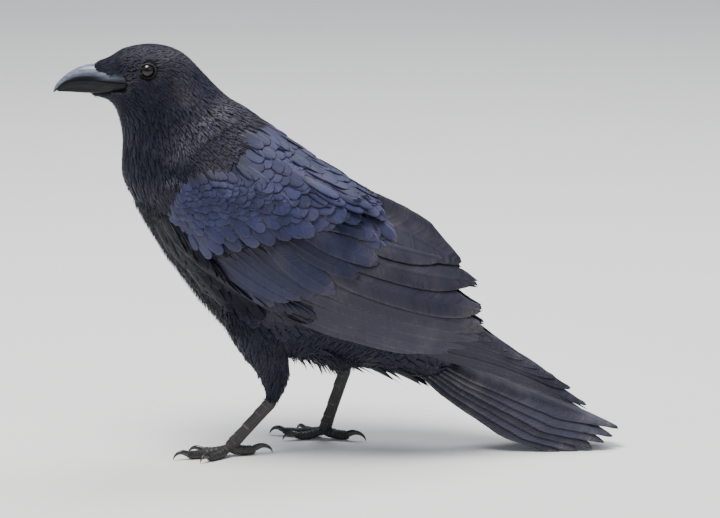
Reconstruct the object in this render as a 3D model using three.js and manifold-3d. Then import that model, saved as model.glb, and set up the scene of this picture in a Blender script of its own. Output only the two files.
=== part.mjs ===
// A common raven, standing, as a life-size still model in named solids.
// Millimetres, +Z up, floor at z = 0. The bird faces -X, its left side is at -Y, and it is
// mirrored about y = 0 apart from the legs, where the left foot is set forward, and the tail,
// which is rolled a little to the left.

import * as THREE from "three";
import { LoftGeometry } from "three/addons/geometries/LoftGeometry.js";
import { mergeVertices } from "three/addons/utils/BufferGeometryUtils.js";
import Module from "manifold-3d";

const wasm = await Module();
wasm.setup();

// Clearance between neighbours, and the size below which a cut's facets are merged.
const gap = 0.3;
const sliver = 0.12;

// ---------------------------------------------------------------- materials

const plumage = new THREE.MeshStandardMaterial({ color: 0x1b1c22, roughness: 0.55, metalness: 0.05 });
const wingPlumage = new THREE.MeshStandardMaterial({ color: 0x242a3c, roughness: 0.42, metalness: 0.1 });
const horn = new THREE.MeshStandardMaterial({ color: 0x2b3038, roughness: 0.32, metalness: 0.0 });
const legSkin = new THREE.MeshStandardMaterial({ color: 0x26262a, roughness: 0.6, metalness: 0.0 });
const iris = new THREE.MeshStandardMaterial({ color: 0x140f0d, roughness: 0.05, metalness: 0.0 });

// ---------------------------------------------------------------- solids

// A closed geometry as a solid, with its faces turned outwards.
function solid(geometry) {
  const bare = new THREE.BufferGeometry();
  bare.setAttribute("position", geometry.getAttribute("position"));
  if (geometry.index) bare.setIndex(geometry.index);
  const merged = mergeVertices(bare, 1e-3);
  const index = merged.index.array;
  const faces = [];
  for (let i = 0; i < index.length; i += 3) {
    const [a, b, c] = [index[i], index[i + 1], index[i + 2]];
    if (a !== b && b !== c && c !== a) faces.push(a, b, c);
  }
  const build = (triangles) =>
    new wasm.Manifold(
      new wasm.Mesh({
        numProp: 3,
        vertProperties: merged.attributes.position.array,
        triVerts: new Uint32Array(triangles),
      }),
    );
  const made = build(faces);
  return made.volume() >= 0 ? made : build(faces.reverse());
}

// A loft with both ends closed. Its rings are turned to run counterclockwise seen from the end.
function loft(rings) {
  const middle = (ring) =>
    ring.reduce((sum, point) => sum.add(point), new THREE.Vector3()).divideScalar(ring.length);
  const centre = middle(rings[0]);
  const spin = new THREE.Vector3();
  rings[0].forEach((point, i) => {
    const next = rings[0][(i + 1) % rings[0].length];
    spin.add(point.clone().sub(centre).cross(next.clone().sub(centre)));
  });
  const forwards = spin.dot(middle(rings[1]).sub(centre)) > 0;
  const ordered = forwards ? rings : rings.map((ring) => ring.toReversed());
  return solid(new LoftGeometry(ordered, { capStart: true, capEnd: true }));
}

// The largest body of a solid, tidied of slivers, so that a cut leaves no loose crumbs.
function largest(cut) {
  const bodies = cut.simplify(sliver).decompose();
  return bodies.reduce((best, body) => (body.volume() > best.volume() ? body : best));
}

function carve(block, ...cutters) {
  return largest(cutters.reduce((rest, cutter) => rest.subtract(cutter), block));
}

function join(...blocks) {
  return blocks.reduce((sum, block) => sum.add(block));
}

// What lies above the floor, so that whatever touches it has a small flat.
function onFloor(block) {
  return largest(block.trimByPlane([0, 0, 1], 0));
}

const raven = new THREE.Group();
raven.name = "raven";

function addPart(name, block, material) {
  const mesh = block.getMesh();
  const position = new Float32Array(mesh.numVert * 3);
  for (let i = 0; i < mesh.numVert; i++) {
    position.set(mesh.vertProperties.subarray(i * mesh.numProp, i * mesh.numProp + 3), i * 3);
  }
  const geometry = new THREE.BufferGeometry();
  geometry.setAttribute("position", new THREE.BufferAttribute(position, 3));
  geometry.setIndex(new THREE.BufferAttribute(mesh.triVerts, 1));
  geometry.computeVertexNormals();
  const part = new THREE.Mesh(geometry, material);
  part.name = name;
  raven.add(part);
}

// ---------------------------------------------------------------- forms

function smooth(points) {
  return new THREE.CatmullRomCurve3(points, false, "catmullrom", 0.5);
}

// Section shapes, as [rise, spread] around a ring, each from -1 to 1.
const roundSection = (squareness) => (turn) => {
  const power = (value) => Math.sign(value) * Math.abs(value) ** (2 / squareness);
  return [power(Math.cos(2 * Math.PI * turn)), power(Math.sin(2 * Math.PI * turn))];
};
const archSection = (turn, sides) => {
  const angle = (Math.PI * turn * sides) / (sides - 1);
  return [2 * Math.sin(angle) - 1, -Math.cos(angle)];
};
const bowlSection = (turn, sides) => {
  const [rise, spread] = archSection(turn, sides);
  return [-rise, spread];
};

// A form drawn by its back line, its belly line and its half width. Each station is
// [back x, back z, belly x, belly z, half width]. `grow` thickens it all round and `widen` only
// sideways.
function form(stations, { rings, sides, grow = 0, widen = 0, section = roundSection(2) }) {
  const back = smooth(stations.map(([x, z]) => new THREE.Vector3(x, 0, z)));
  const belly = smooth(stations.map(([, , x, z]) => new THREE.Vector3(x, 0, z)));
  const width = smooth(stations.map((station) => new THREE.Vector3(station[4], 0, 0)));
  const sections = [];
  for (let i = 0; i <= rings; i++) {
    const t = i / rings;
    const top = back.getPoint(t);
    const bottom = belly.getPoint(t);
    const centre = top.clone().add(bottom).multiplyScalar(0.5);
    const reach = top.clone().sub(bottom).multiplyScalar(0.5);
    const up = reach.clone().normalize().multiplyScalar(reach.length() + grow);
    const half = width.getPoint(t).x + grow + widen;
    if (i === 0 || i === rings) {
      const along = back.getTangent(t).add(belly.getTangent(t)).normalize();
      centre.addScaledVector(along, i === 0 ? -grow : grow);
    }
    const ring = Array.from({ length: sides }, (_, j) => {
      const [rise, spread] = section(j / sides, sides);
      return centre.clone().addScaledVector(up, rise).setY(half * spread);
    });
    sections.push(ring);
  }
  return loft(sections);
}

// A limb, toe or claw along a list of centres, each [x, y, z, half width, half height].
// `across` is the direction of its width.
function limb(stations, across, { rings, sides, grow = 0, swell = () => 1 }) {
  const line = smooth(stations.map(([x, y, z]) => new THREE.Vector3(x, y, z)));
  const girth = smooth(stations.map((station) => new THREE.Vector3(station[3], station[4], 0)));
  const sections = [];
  for (let i = 0; i <= rings; i++) {
    const t = i / rings;
    const along = line.getTangent(t).normalize();
    const side = across.clone().addScaledVector(along, -across.dot(along)).normalize();
    const up = new THREE.Vector3().crossVectors(side, along).normalize();
    const size = girth.getPoint(t).multiplyScalar(swell(t)).addScalar(grow);
    const centre = line.getPoint(t);
    if (i === 0 || i === rings) centre.addScaledVector(along, i === 0 ? -grow : grow);
    const ring = Array.from({ length: sides }, (_, j) => {
      const angle = (2 * Math.PI * j) / sides;
      return centre
        .clone()
        .addScaledVector(side, size.x * Math.sin(angle))
        .addScaledVector(up, size.y * Math.cos(angle));
    });
    sections.push(ring);
  }
  return loft(sections);
}

// ---------------------------------------------------------------- head, neck and trunk

// The whole body as one form, from the brow and chin over the nape and breast to the rump.
const bodyStations = [
  [-209, 373, -211, 334.5, 10],
  [-200, 380.5, -206, 330, 17],
  [-186, 385, -202.5, 325, 22],
  [-168, 386.6, -200.5, 319, 25.5],
  [-150, 383, -199, 312, 26.5],
  [-135.5, 374.5, -197.5, 304, 26.5],
  [-122, 359.5, -197, 296, 28.5],
  [-107, 344.5, -197.5, 286, 33],
  [-88, 327.5, -198.5, 270, 41],
  [-62, 308.5, -195, 254, 50],
  [-27, 281.5, -180, 224.5, 63],
  [10, 258.5, -147, 172, 70],
  [45, 232, -93, 108, 68],
  [72, 194, -46, 90, 56],
  [94, 150, 10, 82, 39],
  [110, 118, 52, 73, 27],
  [124, 92, 94, 67, 13],
];

// Bristle pads over the nostrils and under the chin.
const nostrilPadStations = [
  [-228.5, 364.4, -228.5, 359.5, 5],
  [-217, 371, -217, 354.5, 10],
  [-200, 376, -198, 352, 14],
];
const chinPadStations = [
  [-226, 343, -226, 338.4, 2.5],
  [-214, 346, -214, 334.6, 7.5],
  [-192, 348, -196, 329, 14],
];

// Upper mandible, from the hooked tip to its root inside the head, and lower mandible.
const upperBillStations = [
  [-262, 341, -261.2, 340.4, 0.6],
  [-259.5, 347.2, -258, 342.7, 1.8],
  [-254.5, 353, -253.5, 346.8, 3.2],
  [-246, 359.6, -246.5, 350.2, 5],
  [-234, 365.2, -235, 351.8, 7],
  [-219, 367.4, -221, 351.6, 9],
  [-202, 367, -205, 350.2, 11],
  [-187, 364, -189, 346, 11.5],
];
const lowerBillStations = [
  [-258, 342.6, -257.6, 341.2, 0.8],
  [-252.6, 347, -252.4, 341, 2.8],
  [-244, 350.8, -243.4, 340.6, 4.8],
  [-232, 351.6, -232, 340, 6.6],
  [-218, 351.2, -218, 339, 8.6],
  [-203, 349.6, -203, 338, 10.4],
  [-188, 345.4, -188, 336, 11],
];

const eye = { x: -172.5, side: 18.4, z: 363.6, radius: 7.2 };

// Planes where the body is parted, each by a normal and a point [x, z] on it.
const headCut = { normal: [-0.44, 0, 0.898], through: [-164, 342.5] };
const neckCut = { normal: [-0.3, 0, 0.954], through: [-140, 304] };
const rumpCut = { normal: [-0.8, 0, 0.6], through: [64, 110] };

// The part of a block on one side of a plane: 1 towards its normal, -1 away from it.
function sideOf(block, { normal, through }, towards) {
  const offset = normal[0] * through[0] + normal[2] * through[1];
  return block.trimByPlane(normal.map((n) => n * towards), offset * towards + gap / 2);
}

const bodyForm = (relief = {}) =>
  form(bodyStations, { rings: 24, sides: 16, section: roundSection(2.25), ...relief });
const upperBill = (grow) =>
  form(upperBillStations, { rings: 9, sides: 8, section: archSection, grow });
const lowerBill = (grow) =>
  form(lowerBillStations, { rings: 8, sides: 7, section: bowlSection, grow });
const padForm = (stations) => form(stations, { rings: 2, sides: 8 });
const eyeball = (side, grow) =>
  solid(
    new THREE.SphereGeometry(eye.radius + grow, 12, 7).translate(eye.x, side * eye.side, eye.z),
  );

const wholeBody = bodyForm();
const bodyClearance = bodyForm({ grow: gap });
const head = carve(
  join(sideOf(wholeBody, headCut, 1), padForm(nostrilPadStations), padForm(chinPadStations)),
  upperBill(gap),
  lowerBill(gap),
  eyeball(-1, gap),
  eyeball(1, gap),
);

addPart("head", head, plumage);
addPart("neck", largest(sideOf(sideOf(wholeBody, headCut, -1), neckCut, 1)), plumage);
addPart("trunk", largest(sideOf(sideOf(wholeBody, neckCut, -1), rumpCut, 1)), plumage);
addPart("tail_base", largest(sideOf(wholeBody, rumpCut, -1)), plumage);
addPart("bill_upper", upperBill(0), horn);
addPart("bill_lower", carve(lowerBill(0), upperBill(gap)), horn);
addPart("eye_left", eyeball(-1, 0), iris);
addPart("eye_right", eyeball(1, 0), iris);

// ---------------------------------------------------------------- feather blades

// A flat feather from root to tip on a sheet. The sheet turns (along, across, height) into a
// point. `bend` bows the blade sideways and `blunt` sets how far along it starts to round off.
function blade(sheet, shape) {
  const { root, tip, width, thickness, level, bend = 0, grow = 0 } = shape;
  const { rows = 5, columns = 2, blunt = 0.6 } = shape;
  const from = new THREE.Vector2(...root);
  const along = new THREE.Vector2(...tip).sub(from);
  const across = new THREE.Vector2(-along.y, along.x).normalize();
  const low = level - thickness / 2 - grow;
  const high = level + thickness / 2 + grow;
  const sections = [];
  for (let i = 0; i <= rows; i++) {
    const t = (i / rows) ** 0.75;
    const rootward = Math.min(1, 0.62 + 1.1 * t);
    const tipward = Math.sqrt(1 - Math.max(0, (t - blunt) / (1.02 - blunt)) ** 2);
    const half = (width / 2) * rootward * tipward + grow;
    const stretch = t + (i === rows ? grow : i === 0 ? -grow : 0) / along.length();
    const centre = from
      .clone()
      .addScaledVector(along, stretch)
      .addScaledVector(across, bend * Math.sin(Math.PI * t));
    const point = (offset, height) => {
      const place = centre.clone().addScaledVector(across, offset);
      return sheet(place.x, place.y, height);
    };
    const offsets = Array.from({ length: columns + 1 }, (_, j) => half * ((2 * j) / columns - 1));
    sections.push([
      ...offsets.map((offset) => point(offset, low)),
      ...offsets.toReversed().map((offset) => point(offset, high)),
    ]);
  }
  return loft(sections);
}

// ---------------------------------------------------------------- tail

// The tail's sheet is a tent along a ridge, rolled a little towards the left. `along` runs down
// the ridge and `across` down its slopes, positive on the left side.
const tail = {
  rootX: 70,
  rootZ: 107,
  droop: THREE.MathUtils.degToRad(23.6),
  roll: THREE.MathUtils.degToRad(16),
  ridgeRadius: 34,
  slope: THREE.MathUtils.degToRad(42),
  length: 219,
  graduation: 43,
  halfSpread: 45,
  rootSpread: 9,
  vaneWidth: 27,
  vaneThickness: 0.9,
  pairs: 6,
};

function tailSheet(along, across, height) {
  const arc = Math.min(Math.abs(across) / tail.ridgeRadius, tail.slope);
  const beyond = Math.abs(across) - arc * tail.ridgeRadius;
  const radius = tail.ridgeRadius + height;
  const out = Math.sin(arc) * radius + Math.cos(arc) * beyond;
  const up = Math.cos(arc) * radius - Math.sin(arc) * beyond - tail.ridgeRadius;
  return new THREE.Vector3(along, -Math.sign(across) * out, up)
    .applyAxisAngle(new THREE.Vector3(1, 0, 0), tail.roll)
    .applyAxisAngle(new THREE.Vector3(0, 1, 0), tail.droop)
    .add(new THREE.Vector3(tail.rootX, 0, tail.rootZ));
}

// Pair 0 is the central one and lies on top; each outer feather lies under its neighbour.
function rectrix(pair, side, grow = 0) {
  const outward = pair / (tail.pairs - 1);
  const reach = tail.length - tail.graduation * outward ** 1.8;
  return blade(tailSheet, {
    root: [0, side * (2 + tail.rootSpread * outward)],
    tip: [reach, side * (3 + tail.halfSpread * outward ** 0.85)],
    width: tail.vaneWidth - 4 * outward,
    thickness: tail.vaneThickness,
    level: -(tail.vaneThickness + gap) * (2 * pair + (side < 0 ? 1 : 0)),
    bend: side * 3 * outward,
    grow,
  });
}

const tailClearances = [];
for (let pair = 0; pair < tail.pairs; pair++) {
  for (const [name, side] of [["left", 1], ["right", -1]]) {
    const nearest = tailClearances.slice(-3);
    const vane = onFloor(carve(rectrix(pair, side), bodyClearance, ...nearest));
    addPart(`rectrix_${name}_${pair + 1}`, vane, wingPlumage);
    tailClearances.push(rectrix(pair, side, gap));
  }
}

// ---------------------------------------------------------------- wings

// The folded wing's sheet, as its outer surface over the side view. Each station is
// [x, z of the top edge, full depth from the midline, drop from the top edge to that depth].
const wingSheetStations = [
  [-170, 366, 50, 90],
  [-68, 313, 73, 88],
  [-13, 274, 74, 84],
  [51, 230, 70, 76],
  [100, 197, 53, 62],
  [138, 160, 38, 46],
  [184, 102, 26, 26],
  [245, 48, 17, 12],
];
const ridgeOffset = 8;
const tuck = 0.12;

function wingDepth(x, z) {
  const after = wingSheetStations.findIndex((station, i) => i > 0 && station[0] >= x);
  const i = after < 0 ? wingSheetStations.length - 1 : after;
  const [a, b] = [wingSheetStations[i - 1], wingSheetStations[i]];
  const t = (x - a[0]) / (b[0] - a[0]);
  const [top, depth, drop] = [1, 2, 3].map((k) => THREE.MathUtils.lerp(a[k], b[k], t));
  const q = (top - z) / drop;
  const near = Math.sin((Math.PI / 2) * THREE.MathUtils.clamp(q, 0, 1));
  const below = Math.max(0, q - 1);
  return ridgeOffset + (depth - ridgeOffset) * near * (1 - tuck * below * below);
}

// The sheet of one wing. `along` is x, `across` is z and `height` stands out from the surface.
const wingSheet = (side) => (x, z, height) => {
  const step = 2;
  const slopeX = (wingDepth(x + step, z) - wingDepth(x - step, z)) / (2 * step);
  const slopeZ = (wingDepth(x, z + step) - wingDepth(x, z - step)) / (2 * step);
  const normal = new THREE.Vector3(-slopeX, 1, -slopeZ).normalize().multiplyScalar(height);
  return new THREE.Vector3(x, wingDepth(x, z), z).add(normal).multiply({ x: 1, y: side, z: 1 });
};

// Tertials and secondaries, top one first: [root x, root z, tip x, tip z, width, bend].
const secondaryVanes = [
  [-34, 240, 104, 185, 28, -4],
  [-38, 222, 137, 160, 34, -7],
  [-40, 198, 141, 135, 36, -7],
  [-40, 172, 126, 114, 36, -6],
  [-38, 150, 74, 111, 32, -4],
];
// Primaries, upper one first.
const primaryVanes = [
  [48, 145, 174, 100, 24, -2],
  [52, 134, 203, 83, 23, -2],
  [56, 124, 226, 66, 21, -2],
  [60, 113, 243, 47, 19, -2],
];
const wingVane = { thickness: 1.6, step: 0.8, blunt: 0.74 };

function vaneStack(side, vanes, topLevel, grow = 0) {
  const blades = vanes.map(([rootX, rootZ, tipX, tipZ, width, bend], i) =>
    blade(wingSheet(side), {
      ...wingVane,
      root: [rootX, rootZ],
      tip: [tipX, tipZ],
      width,
      bend,
      level: topLevel - i * wingVane.step,
      grow,
    }),
  );
  return join(...blades).trimByPlane([0, side, 0], gap / 2 - grow);
}

// Side-view outlines of the coverts and of the scapulars above them, and how far each stands
// out from the trunk: all round, then further sideways.
const covertRelief = { grow: 0.5, widen: 8.5 };
const scapularRelief = { grow: 3, widen: 7 };
const scapularEdge = [
  [-150, 274],
  [-128, 268],
  [-88, 252],
  [-46, 243],
  [-12, 240],
  [50, 240],
];
const scapularOutline = [...scapularEdge, [60, 262], [0, 300], [-60, 330], [-98, 330], [-138, 298]];
const covertOutline = [
  [-170, 244],
  [-166, 256],
  [-154, 264],
  ...scapularEdge.slice(1, 5).map(([x, z]) => [x, z - 2 * gap]),
  [2, 222],
  [13, 198],
  [9, 172],
  [2, 148],
  [-8, 130],
  [-34, 134],
  [-68, 152],
  [-100, 173],
  [-130, 196],
  [-158, 224],
];

// An outline moved outwards by a distance.
function outset(outline, by) {
  const points = outline.map(([x, z]) => new THREE.Vector2(x, z));
  const spin = THREE.ShapeUtils.isClockWise(points) ? -1 : 1;
  return points.map((point, i) => {
    const before = points.at(i - 1);
    const after = points[(i + 1) % points.length];
    const along = point.clone().sub(before).normalize().add(after.clone().sub(point).normalize());
    const outwards = new THREE.Vector2(along.y, -along.x).normalize();
    return point.clone().addScaledVector(outwards, spin * by);
  });
}

// A slab with a side-view outline, from just beside the midline outwards.
function slab(outline, side) {
  const depth = 90;
  const block = new THREE.ExtrudeGeometry(new THREE.Shape(outline), { depth, bevelEnabled: false });
  block.rotateX(Math.PI / 2);
  block.translate(0, side < 0 ? -gap / 2 : depth + gap / 2, 0);
  return solid(block);
}

function bodyPad(outline, relief, side, grow = 0) {
  const block = bodyForm({ ...relief, grow: relief.grow + grow });
  return block.intersect(slab(outset(outline, grow), side));
}

for (const [name, side] of [["left", -1], ["right", 1]]) {
  const secondaryTop = 0;
  const primaryTop = secondaryTop - secondaryVanes.length * wingVane.step - gap;
  const covertClearance = bodyPad(covertOutline, covertRelief, side, gap);
  const scapularClearance = bodyPad(scapularOutline, scapularRelief, side, gap);
  const secondaryClearance = vaneStack(side, secondaryVanes, secondaryTop, gap);
  const pieces = {
    scapulars: [bodyPad(scapularOutline, scapularRelief, side)],
    coverts: [bodyPad(covertOutline, covertRelief, side), scapularClearance],
    secondaries: [
      vaneStack(side, secondaryVanes, secondaryTop),
      covertClearance,
      scapularClearance,
    ],
    primaries: [
      vaneStack(side, primaryVanes, primaryTop),
      covertClearance,
      scapularClearance,
      secondaryClearance,
    ],
  };
  for (const [piece, [block, ...cutters]] of Object.entries(pieces)) {
    addPart(`wing_${name}_${piece}`, carve(block, bodyClearance, ...cutters), wingPlumage);
  }
}

// ---------------------------------------------------------------- legs and feet

const sideways = new THREE.Vector3(0, 1, 0);

// Each leg from the feathered thigh to the ankle and the ball of the foot. The foot is turned
// outwards by `yaw`.
const legs = [
  {
    name: "left",
    side: -1,
    thigh: [
      [-86, -37, 150, 18, 25],
      [-71, -39, 120, 18, 25],
      [-60, -38, 97, 15.5, 19.5],
      [-55, -37, 77, 11, 14],
      [-56, -36, 62, 6.6, 8.6],
      [-59, -36, 52, 4.4, 5.8],
    ],
    ankle: [-58, -36, 53],
    ball: [-97, -36, 9.5],
    yaw: THREE.MathUtils.degToRad(18),
  },
  {
    name: "right",
    side: 1,
    thigh: [
      [-26, 37, 146, 18, 25],
      [-12, 39, 124, 17, 24],
      [1, 38, 104, 14, 18],
      [9, 37, 88, 9.5, 12],
      [11, 36, 77, 6, 7.6],
      [10, 36, 68, 4.4, 5.8],
    ],
    ankle: [11, 36, 69],
    ball: [-9, 36, 9.5],
    yaw: THREE.MathUtils.degToRad(18),
  },
];
const tarsus = { half: 3.4, depth: 4.9 };

// Toes: heading from straight ahead towards the outer side, length without the claw, half
// width, number of pads, claw length.
const toes = [
  { name: "middle", heading: 0, length: 42, half: 3.7, pads: 3, claw: 15 },
  { name: "inner", heading: -30, length: 28, half: 3.5, pads: 2, claw: 14 },
  { name: "outer", heading: 30, length: 30, half: 3.4, pads: 3, claw: 12 },
  { name: "hind", heading: 180, length: 23, half: 4.1, pads: 1, claw: 19 },
];

for (const leg of legs) {
  const [ankleX, ankleY, ankleZ] = leg.ankle;
  const [ballX, ballY, ballZ] = leg.ball;
  const thighForm = (grow) => limb(leg.thigh, sideways, { rings: 7, sides: 12, grow });
  const alongShank = (t, drop = 0) => [
    ankleX + (ballX - ankleX) * t,
    ankleY + (ballY - ankleY) * t,
    ankleZ + (ballZ - ankleZ) * t - drop,
  ];
  const shankStations = [
    [...alongShank(-0.08), tarsus.half * 1.25, tarsus.depth * 1.2],
    [...alongShank(0.25), tarsus.half, tarsus.depth],
    [...alongShank(0.7), tarsus.half, tarsus.depth],
    [...alongShank(1), tarsus.half * 1.5, tarsus.depth * 1.15],
    [...alongShank(1.06, 3), tarsus.half * 1.2, tarsus.depth * 0.9],
  ];
  const shankForm = (grow) => limb(shankStations, sideways, { rings: 6, sides: 8, grow });
  addPart(`thigh_${leg.name}`, carve(thighForm(0), bodyClearance), plumage);
  addPart(`tarsus_${leg.name}`, onFloor(carve(shankForm(0), thighForm(gap))), legSkin);

  const placed = [shankForm(gap)];
  for (const toe of toes) {
    const turn = leg.side * (leg.yaw + THREE.MathUtils.degToRad(toe.heading));
    const heading = Math.PI - turn;
    const across = new THREE.Vector3(-Math.sin(heading), Math.cos(heading), 0);
    const at = (distance) => [
      ballX + Math.cos(heading) * distance,
      ballY + Math.sin(heading) * distance,
    ];
    const { length, half, claw } = toe;
    const toeStations = [
      [...at(1), ballZ - 1, half * 0.9, half * 0.9],
      [...at(length * 0.22), 6.2, half, half * 0.95],
      [...at(length * 0.6), half * 0.92, half * 0.94, half],
      [...at(length * 0.9), half * 0.9, half * 0.9, half * 0.95],
      [...at(length), half * 1.1, half * 0.66, half * 0.66],
    ];
    const clawStations = [
      [...at(length - 1.5), half * 1.2, half * 0.5, half * 0.62],
      [...at(length + claw * 0.3), half * 1.65, half * 0.42, half * 0.5],
      [...at(length + claw * 0.66), half * 1.35, half * 0.3, half * 0.36],
      [...at(length + claw * 0.88), half * 0.55, half * 0.17, half * 0.2],
      [...at(length + claw * 0.92), 0.35, 0.35, 0.35],
    ];
    const swell = (t) => 1 + 0.09 * Math.cos(2 * Math.PI * (toe.pads * t - 0.15));
    const toeForm = (grow) => limb(toeStations, across, { rings: 7, sides: 6, grow, swell });
    const clawForm = (grow) => limb(clawStations, across, { rings: 5, sides: 5, grow });
    const toeBlock = carve(toeForm(0), ...placed, clawForm(gap));
    addPart(`toe_${leg.name}_${toe.name}`, onFloor(toeBlock), legSkin);
    addPart(`claw_${leg.name}_${toe.name}`, onFloor(clawForm(0)), horn);
    placed.push(toeForm(gap));
  }
}

// The origin is under the middle of the model, on the floor.
const bounds = new THREE.Box3().setFromObject(raven);
const middle = bounds.getCenter(new THREE.Vector3());
raven.position.set(-middle.x, -middle.y, -bounds.min.z);

export default raven;
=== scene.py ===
import math

import bmesh
import bpy
import numpy as np
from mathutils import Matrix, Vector
from mathutils.bvhtree import BVHTree
from mathutils.kdtree import KDTree


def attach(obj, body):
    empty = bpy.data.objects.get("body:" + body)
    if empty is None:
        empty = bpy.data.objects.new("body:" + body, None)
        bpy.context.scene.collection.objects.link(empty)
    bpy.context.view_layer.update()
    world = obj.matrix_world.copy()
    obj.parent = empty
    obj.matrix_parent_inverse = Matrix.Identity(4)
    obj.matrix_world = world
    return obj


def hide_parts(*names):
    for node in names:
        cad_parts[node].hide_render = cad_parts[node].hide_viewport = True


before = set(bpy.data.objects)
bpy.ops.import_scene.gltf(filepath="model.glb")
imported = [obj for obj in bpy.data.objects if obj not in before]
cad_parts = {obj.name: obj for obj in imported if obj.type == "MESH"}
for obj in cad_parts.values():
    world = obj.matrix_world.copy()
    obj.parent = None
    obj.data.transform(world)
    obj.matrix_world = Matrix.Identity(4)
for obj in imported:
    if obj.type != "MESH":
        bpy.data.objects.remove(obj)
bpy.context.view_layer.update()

mm = 0.001
shiftX = -4.5  # the model is centred over the origin, so its stations slide by this, in mm
chance = np.random.default_rng(7)


def pick(*pieces):
    if bpy.context.object and bpy.context.object.mode != "OBJECT":
        bpy.ops.object.mode_set(mode="OBJECT")
    bpy.ops.object.select_all(action="DESELECT")
    for piece in pieces:
        piece.select_set(True)
    bpy.context.view_layer.objects.active = pieces[-1]


def applyModifier(piece, kind, **settings):
    pick(piece)
    modifier = piece.modifiers.new(kind.title(), kind)
    for name, value in settings.items():
        setattr(modifier, name, value)
    bpy.ops.object.modifier_apply(modifier=modifier.name)


def copyOf(source, name):
    piece = source.copy()
    piece.data = source.data.copy()
    piece.name = name
    piece.parent = None
    for key in list(piece.keys()):
        del piece[key]
    bpy.context.scene.collection.objects.link(piece)
    return piece


def joined(pieces, name):
    pick(*pieces)
    bpy.ops.object.join()
    piece = bpy.context.object
    piece.name = name
    return piece


def smoothShade(piece, angle=None):
    pick(piece)
    if angle is None:
        bpy.ops.object.shade_smooth()
    else:
        bpy.ops.object.shade_smooth_by_angle(angle=math.radians(angle))


def finishPiece(piece, material, replaced=()):
    piece.data.materials.clear()
    piece.data.materials.append(material)
    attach(piece, "root")
    if replaced:
        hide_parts(*replaced)


def ease(low, high, value):
    t = np.clip((value - low) / (high - low), 0, 1)
    return t * t * (3 - 2 * t)


def unit(vectors):
    return vectors / np.maximum(np.linalg.norm(vectors, axis=-1, keepdims=True), 1e-12)


def catmull(points, t):  # a smooth line through control points, at t from 0 to 1
    points = np.asarray(points, float)
    last = len(points) - 1
    place = np.clip(np.asarray(t, float), 0, 1) * last
    start = np.minimum(place.astype(int), last - 1)
    w = (place - start)[..., None]
    padded = np.vstack([2 * points[0] - points[1], points, 2 * points[-1] - points[-2]])
    a, b, c, d = (padded[start + k] for k in range(4))
    return 0.5 * (2 * b + (c - a) * w + (2 * a - 5 * b + 4 * c - d) * w**2 + (3 * b - a - 3 * c + d) * w**3)


def addNode(tree, kind, sources=None, **settings):
    made = tree.nodes.new("ShaderNode" + kind)
    for name, value in settings.items():
        setattr(made, name, value)
    for key, source in (sources or {}).items():
        if isinstance(source, bpy.types.NodeSocket):
            tree.links.new(source, made.inputs[key])
        else:
            made.inputs[key].default_value = source
    return made


def calc(tree, operation, *values):
    return addNode(tree, "Math", dict(enumerate(values)), operation=operation).outputs[0]


def ramp(tree, value, low, high, outLow=0.0, outHigh=1.0):
    sources = {"Value": value, "From Min": low, "From Max": high, "To Min": outLow, "To Max": outHigh}
    return addNode(tree, "MapRange", sources, interpolation_type="SMOOTHSTEP").outputs[0]


def blendColor(tree, factor, first, second, mode="MIX"):
    made = addNode(tree, "Mix", data_type="RGBA", blend_type=mode)
    for socket, source in ((made.inputs[0], factor), (made.inputs[6], first), (made.inputs[7], second)):
        if isinstance(source, bpy.types.NodeSocket):
            tree.links.new(source, socket)
        else:
            socket.default_value = source
    return made.outputs[2]


def shaderGroup(name, inputs, outputs):
    tree = bpy.data.node_groups.new(name, "ShaderNodeTree")
    for label, value in inputs.items():
        kind = "NodeSocketColor" if isinstance(value, tuple) else "NodeSocketFloat"
        socket = tree.interface.new_socket(label, in_out="INPUT", socket_type=kind)
        socket.default_value = value
    for label, kind in outputs.items():
        tree.interface.new_socket(label, in_out="OUTPUT", socket_type=kind)
    return tree, tree.nodes.new("NodeGroupInput"), tree.nodes.new("NodeGroupOutput")


def newMaterial(name, **constants):
    material = bpy.data.materials.new(name)
    material.use_nodes = True
    shader = material.node_tree.nodes["Principled BSDF"]
    for label, value in constants.items():
        shader.inputs[label].default_value = value
    return material, material.node_tree, shader


def objectCoords(tree):
    return addNode(tree, "TexCoord").outputs["Object"]


def noise(tree, place, scale, detail=2.0, roughness=0.5):
    sources = {"Vector": place, "Scale": scale, "Detail": detail, "Roughness": roughness}
    return addNode(tree, "TexNoise", sources).outputs[0]


def stored(tree, name, output="Fac"):  # an attribute kept on the mesh
    return addNode(tree, "Attribute", attribute_name=name).outputs[output]


def grey(tree, value):
    return addNode(tree, "CombineColor", {0: value, 1: value, 2: value}).outputs[0]


def bumped(tree, shader, height, strength, distance):
    made = addNode(tree, "Bump", {"Height": height, "Strength": strength, "Distance": distance})
    tree.links.new(made.outputs[0], shader.inputs["Normal"])


# one feather's surface: barbs, shaft, worn rims, and a painted blue sheen that grows towards the tip
grainLook = {
    "slant": 1.3,
    "barbDensity": 90.0,
    "barbStretch": 6.0,
    "seedStep": 61.0,
    "shaft": (0.02, 0.14),  # shares of the half width
    "rim": (0.72, 1.0),
    "tip": (0.86, 1.0),  # shares of the length
    "patchScale": 26.0,
    "barbShade": (0.7, 1.25),
    "featherShade": (0.85, 1.15),
    "roughness": (0.36, 0.58),
}
featherGroup, groupIn, groupOut = shaderGroup(
    "featherGrain",
    {"Base": (0.02, 0.02, 0.03, 1), "Gloss": (0.04, 0.05, 0.1, 1), "Worn": (0.08, 0.06, 0.05, 1),
     "Wear": 0.3, "Barbs": 1.0, "Fade": 0.0, "Upper": 0.0},
    {"Color": "NodeSocketColor", "Roughness": "NodeSocketFloat", "Height": "NodeSocketFloat"},
)


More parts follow.
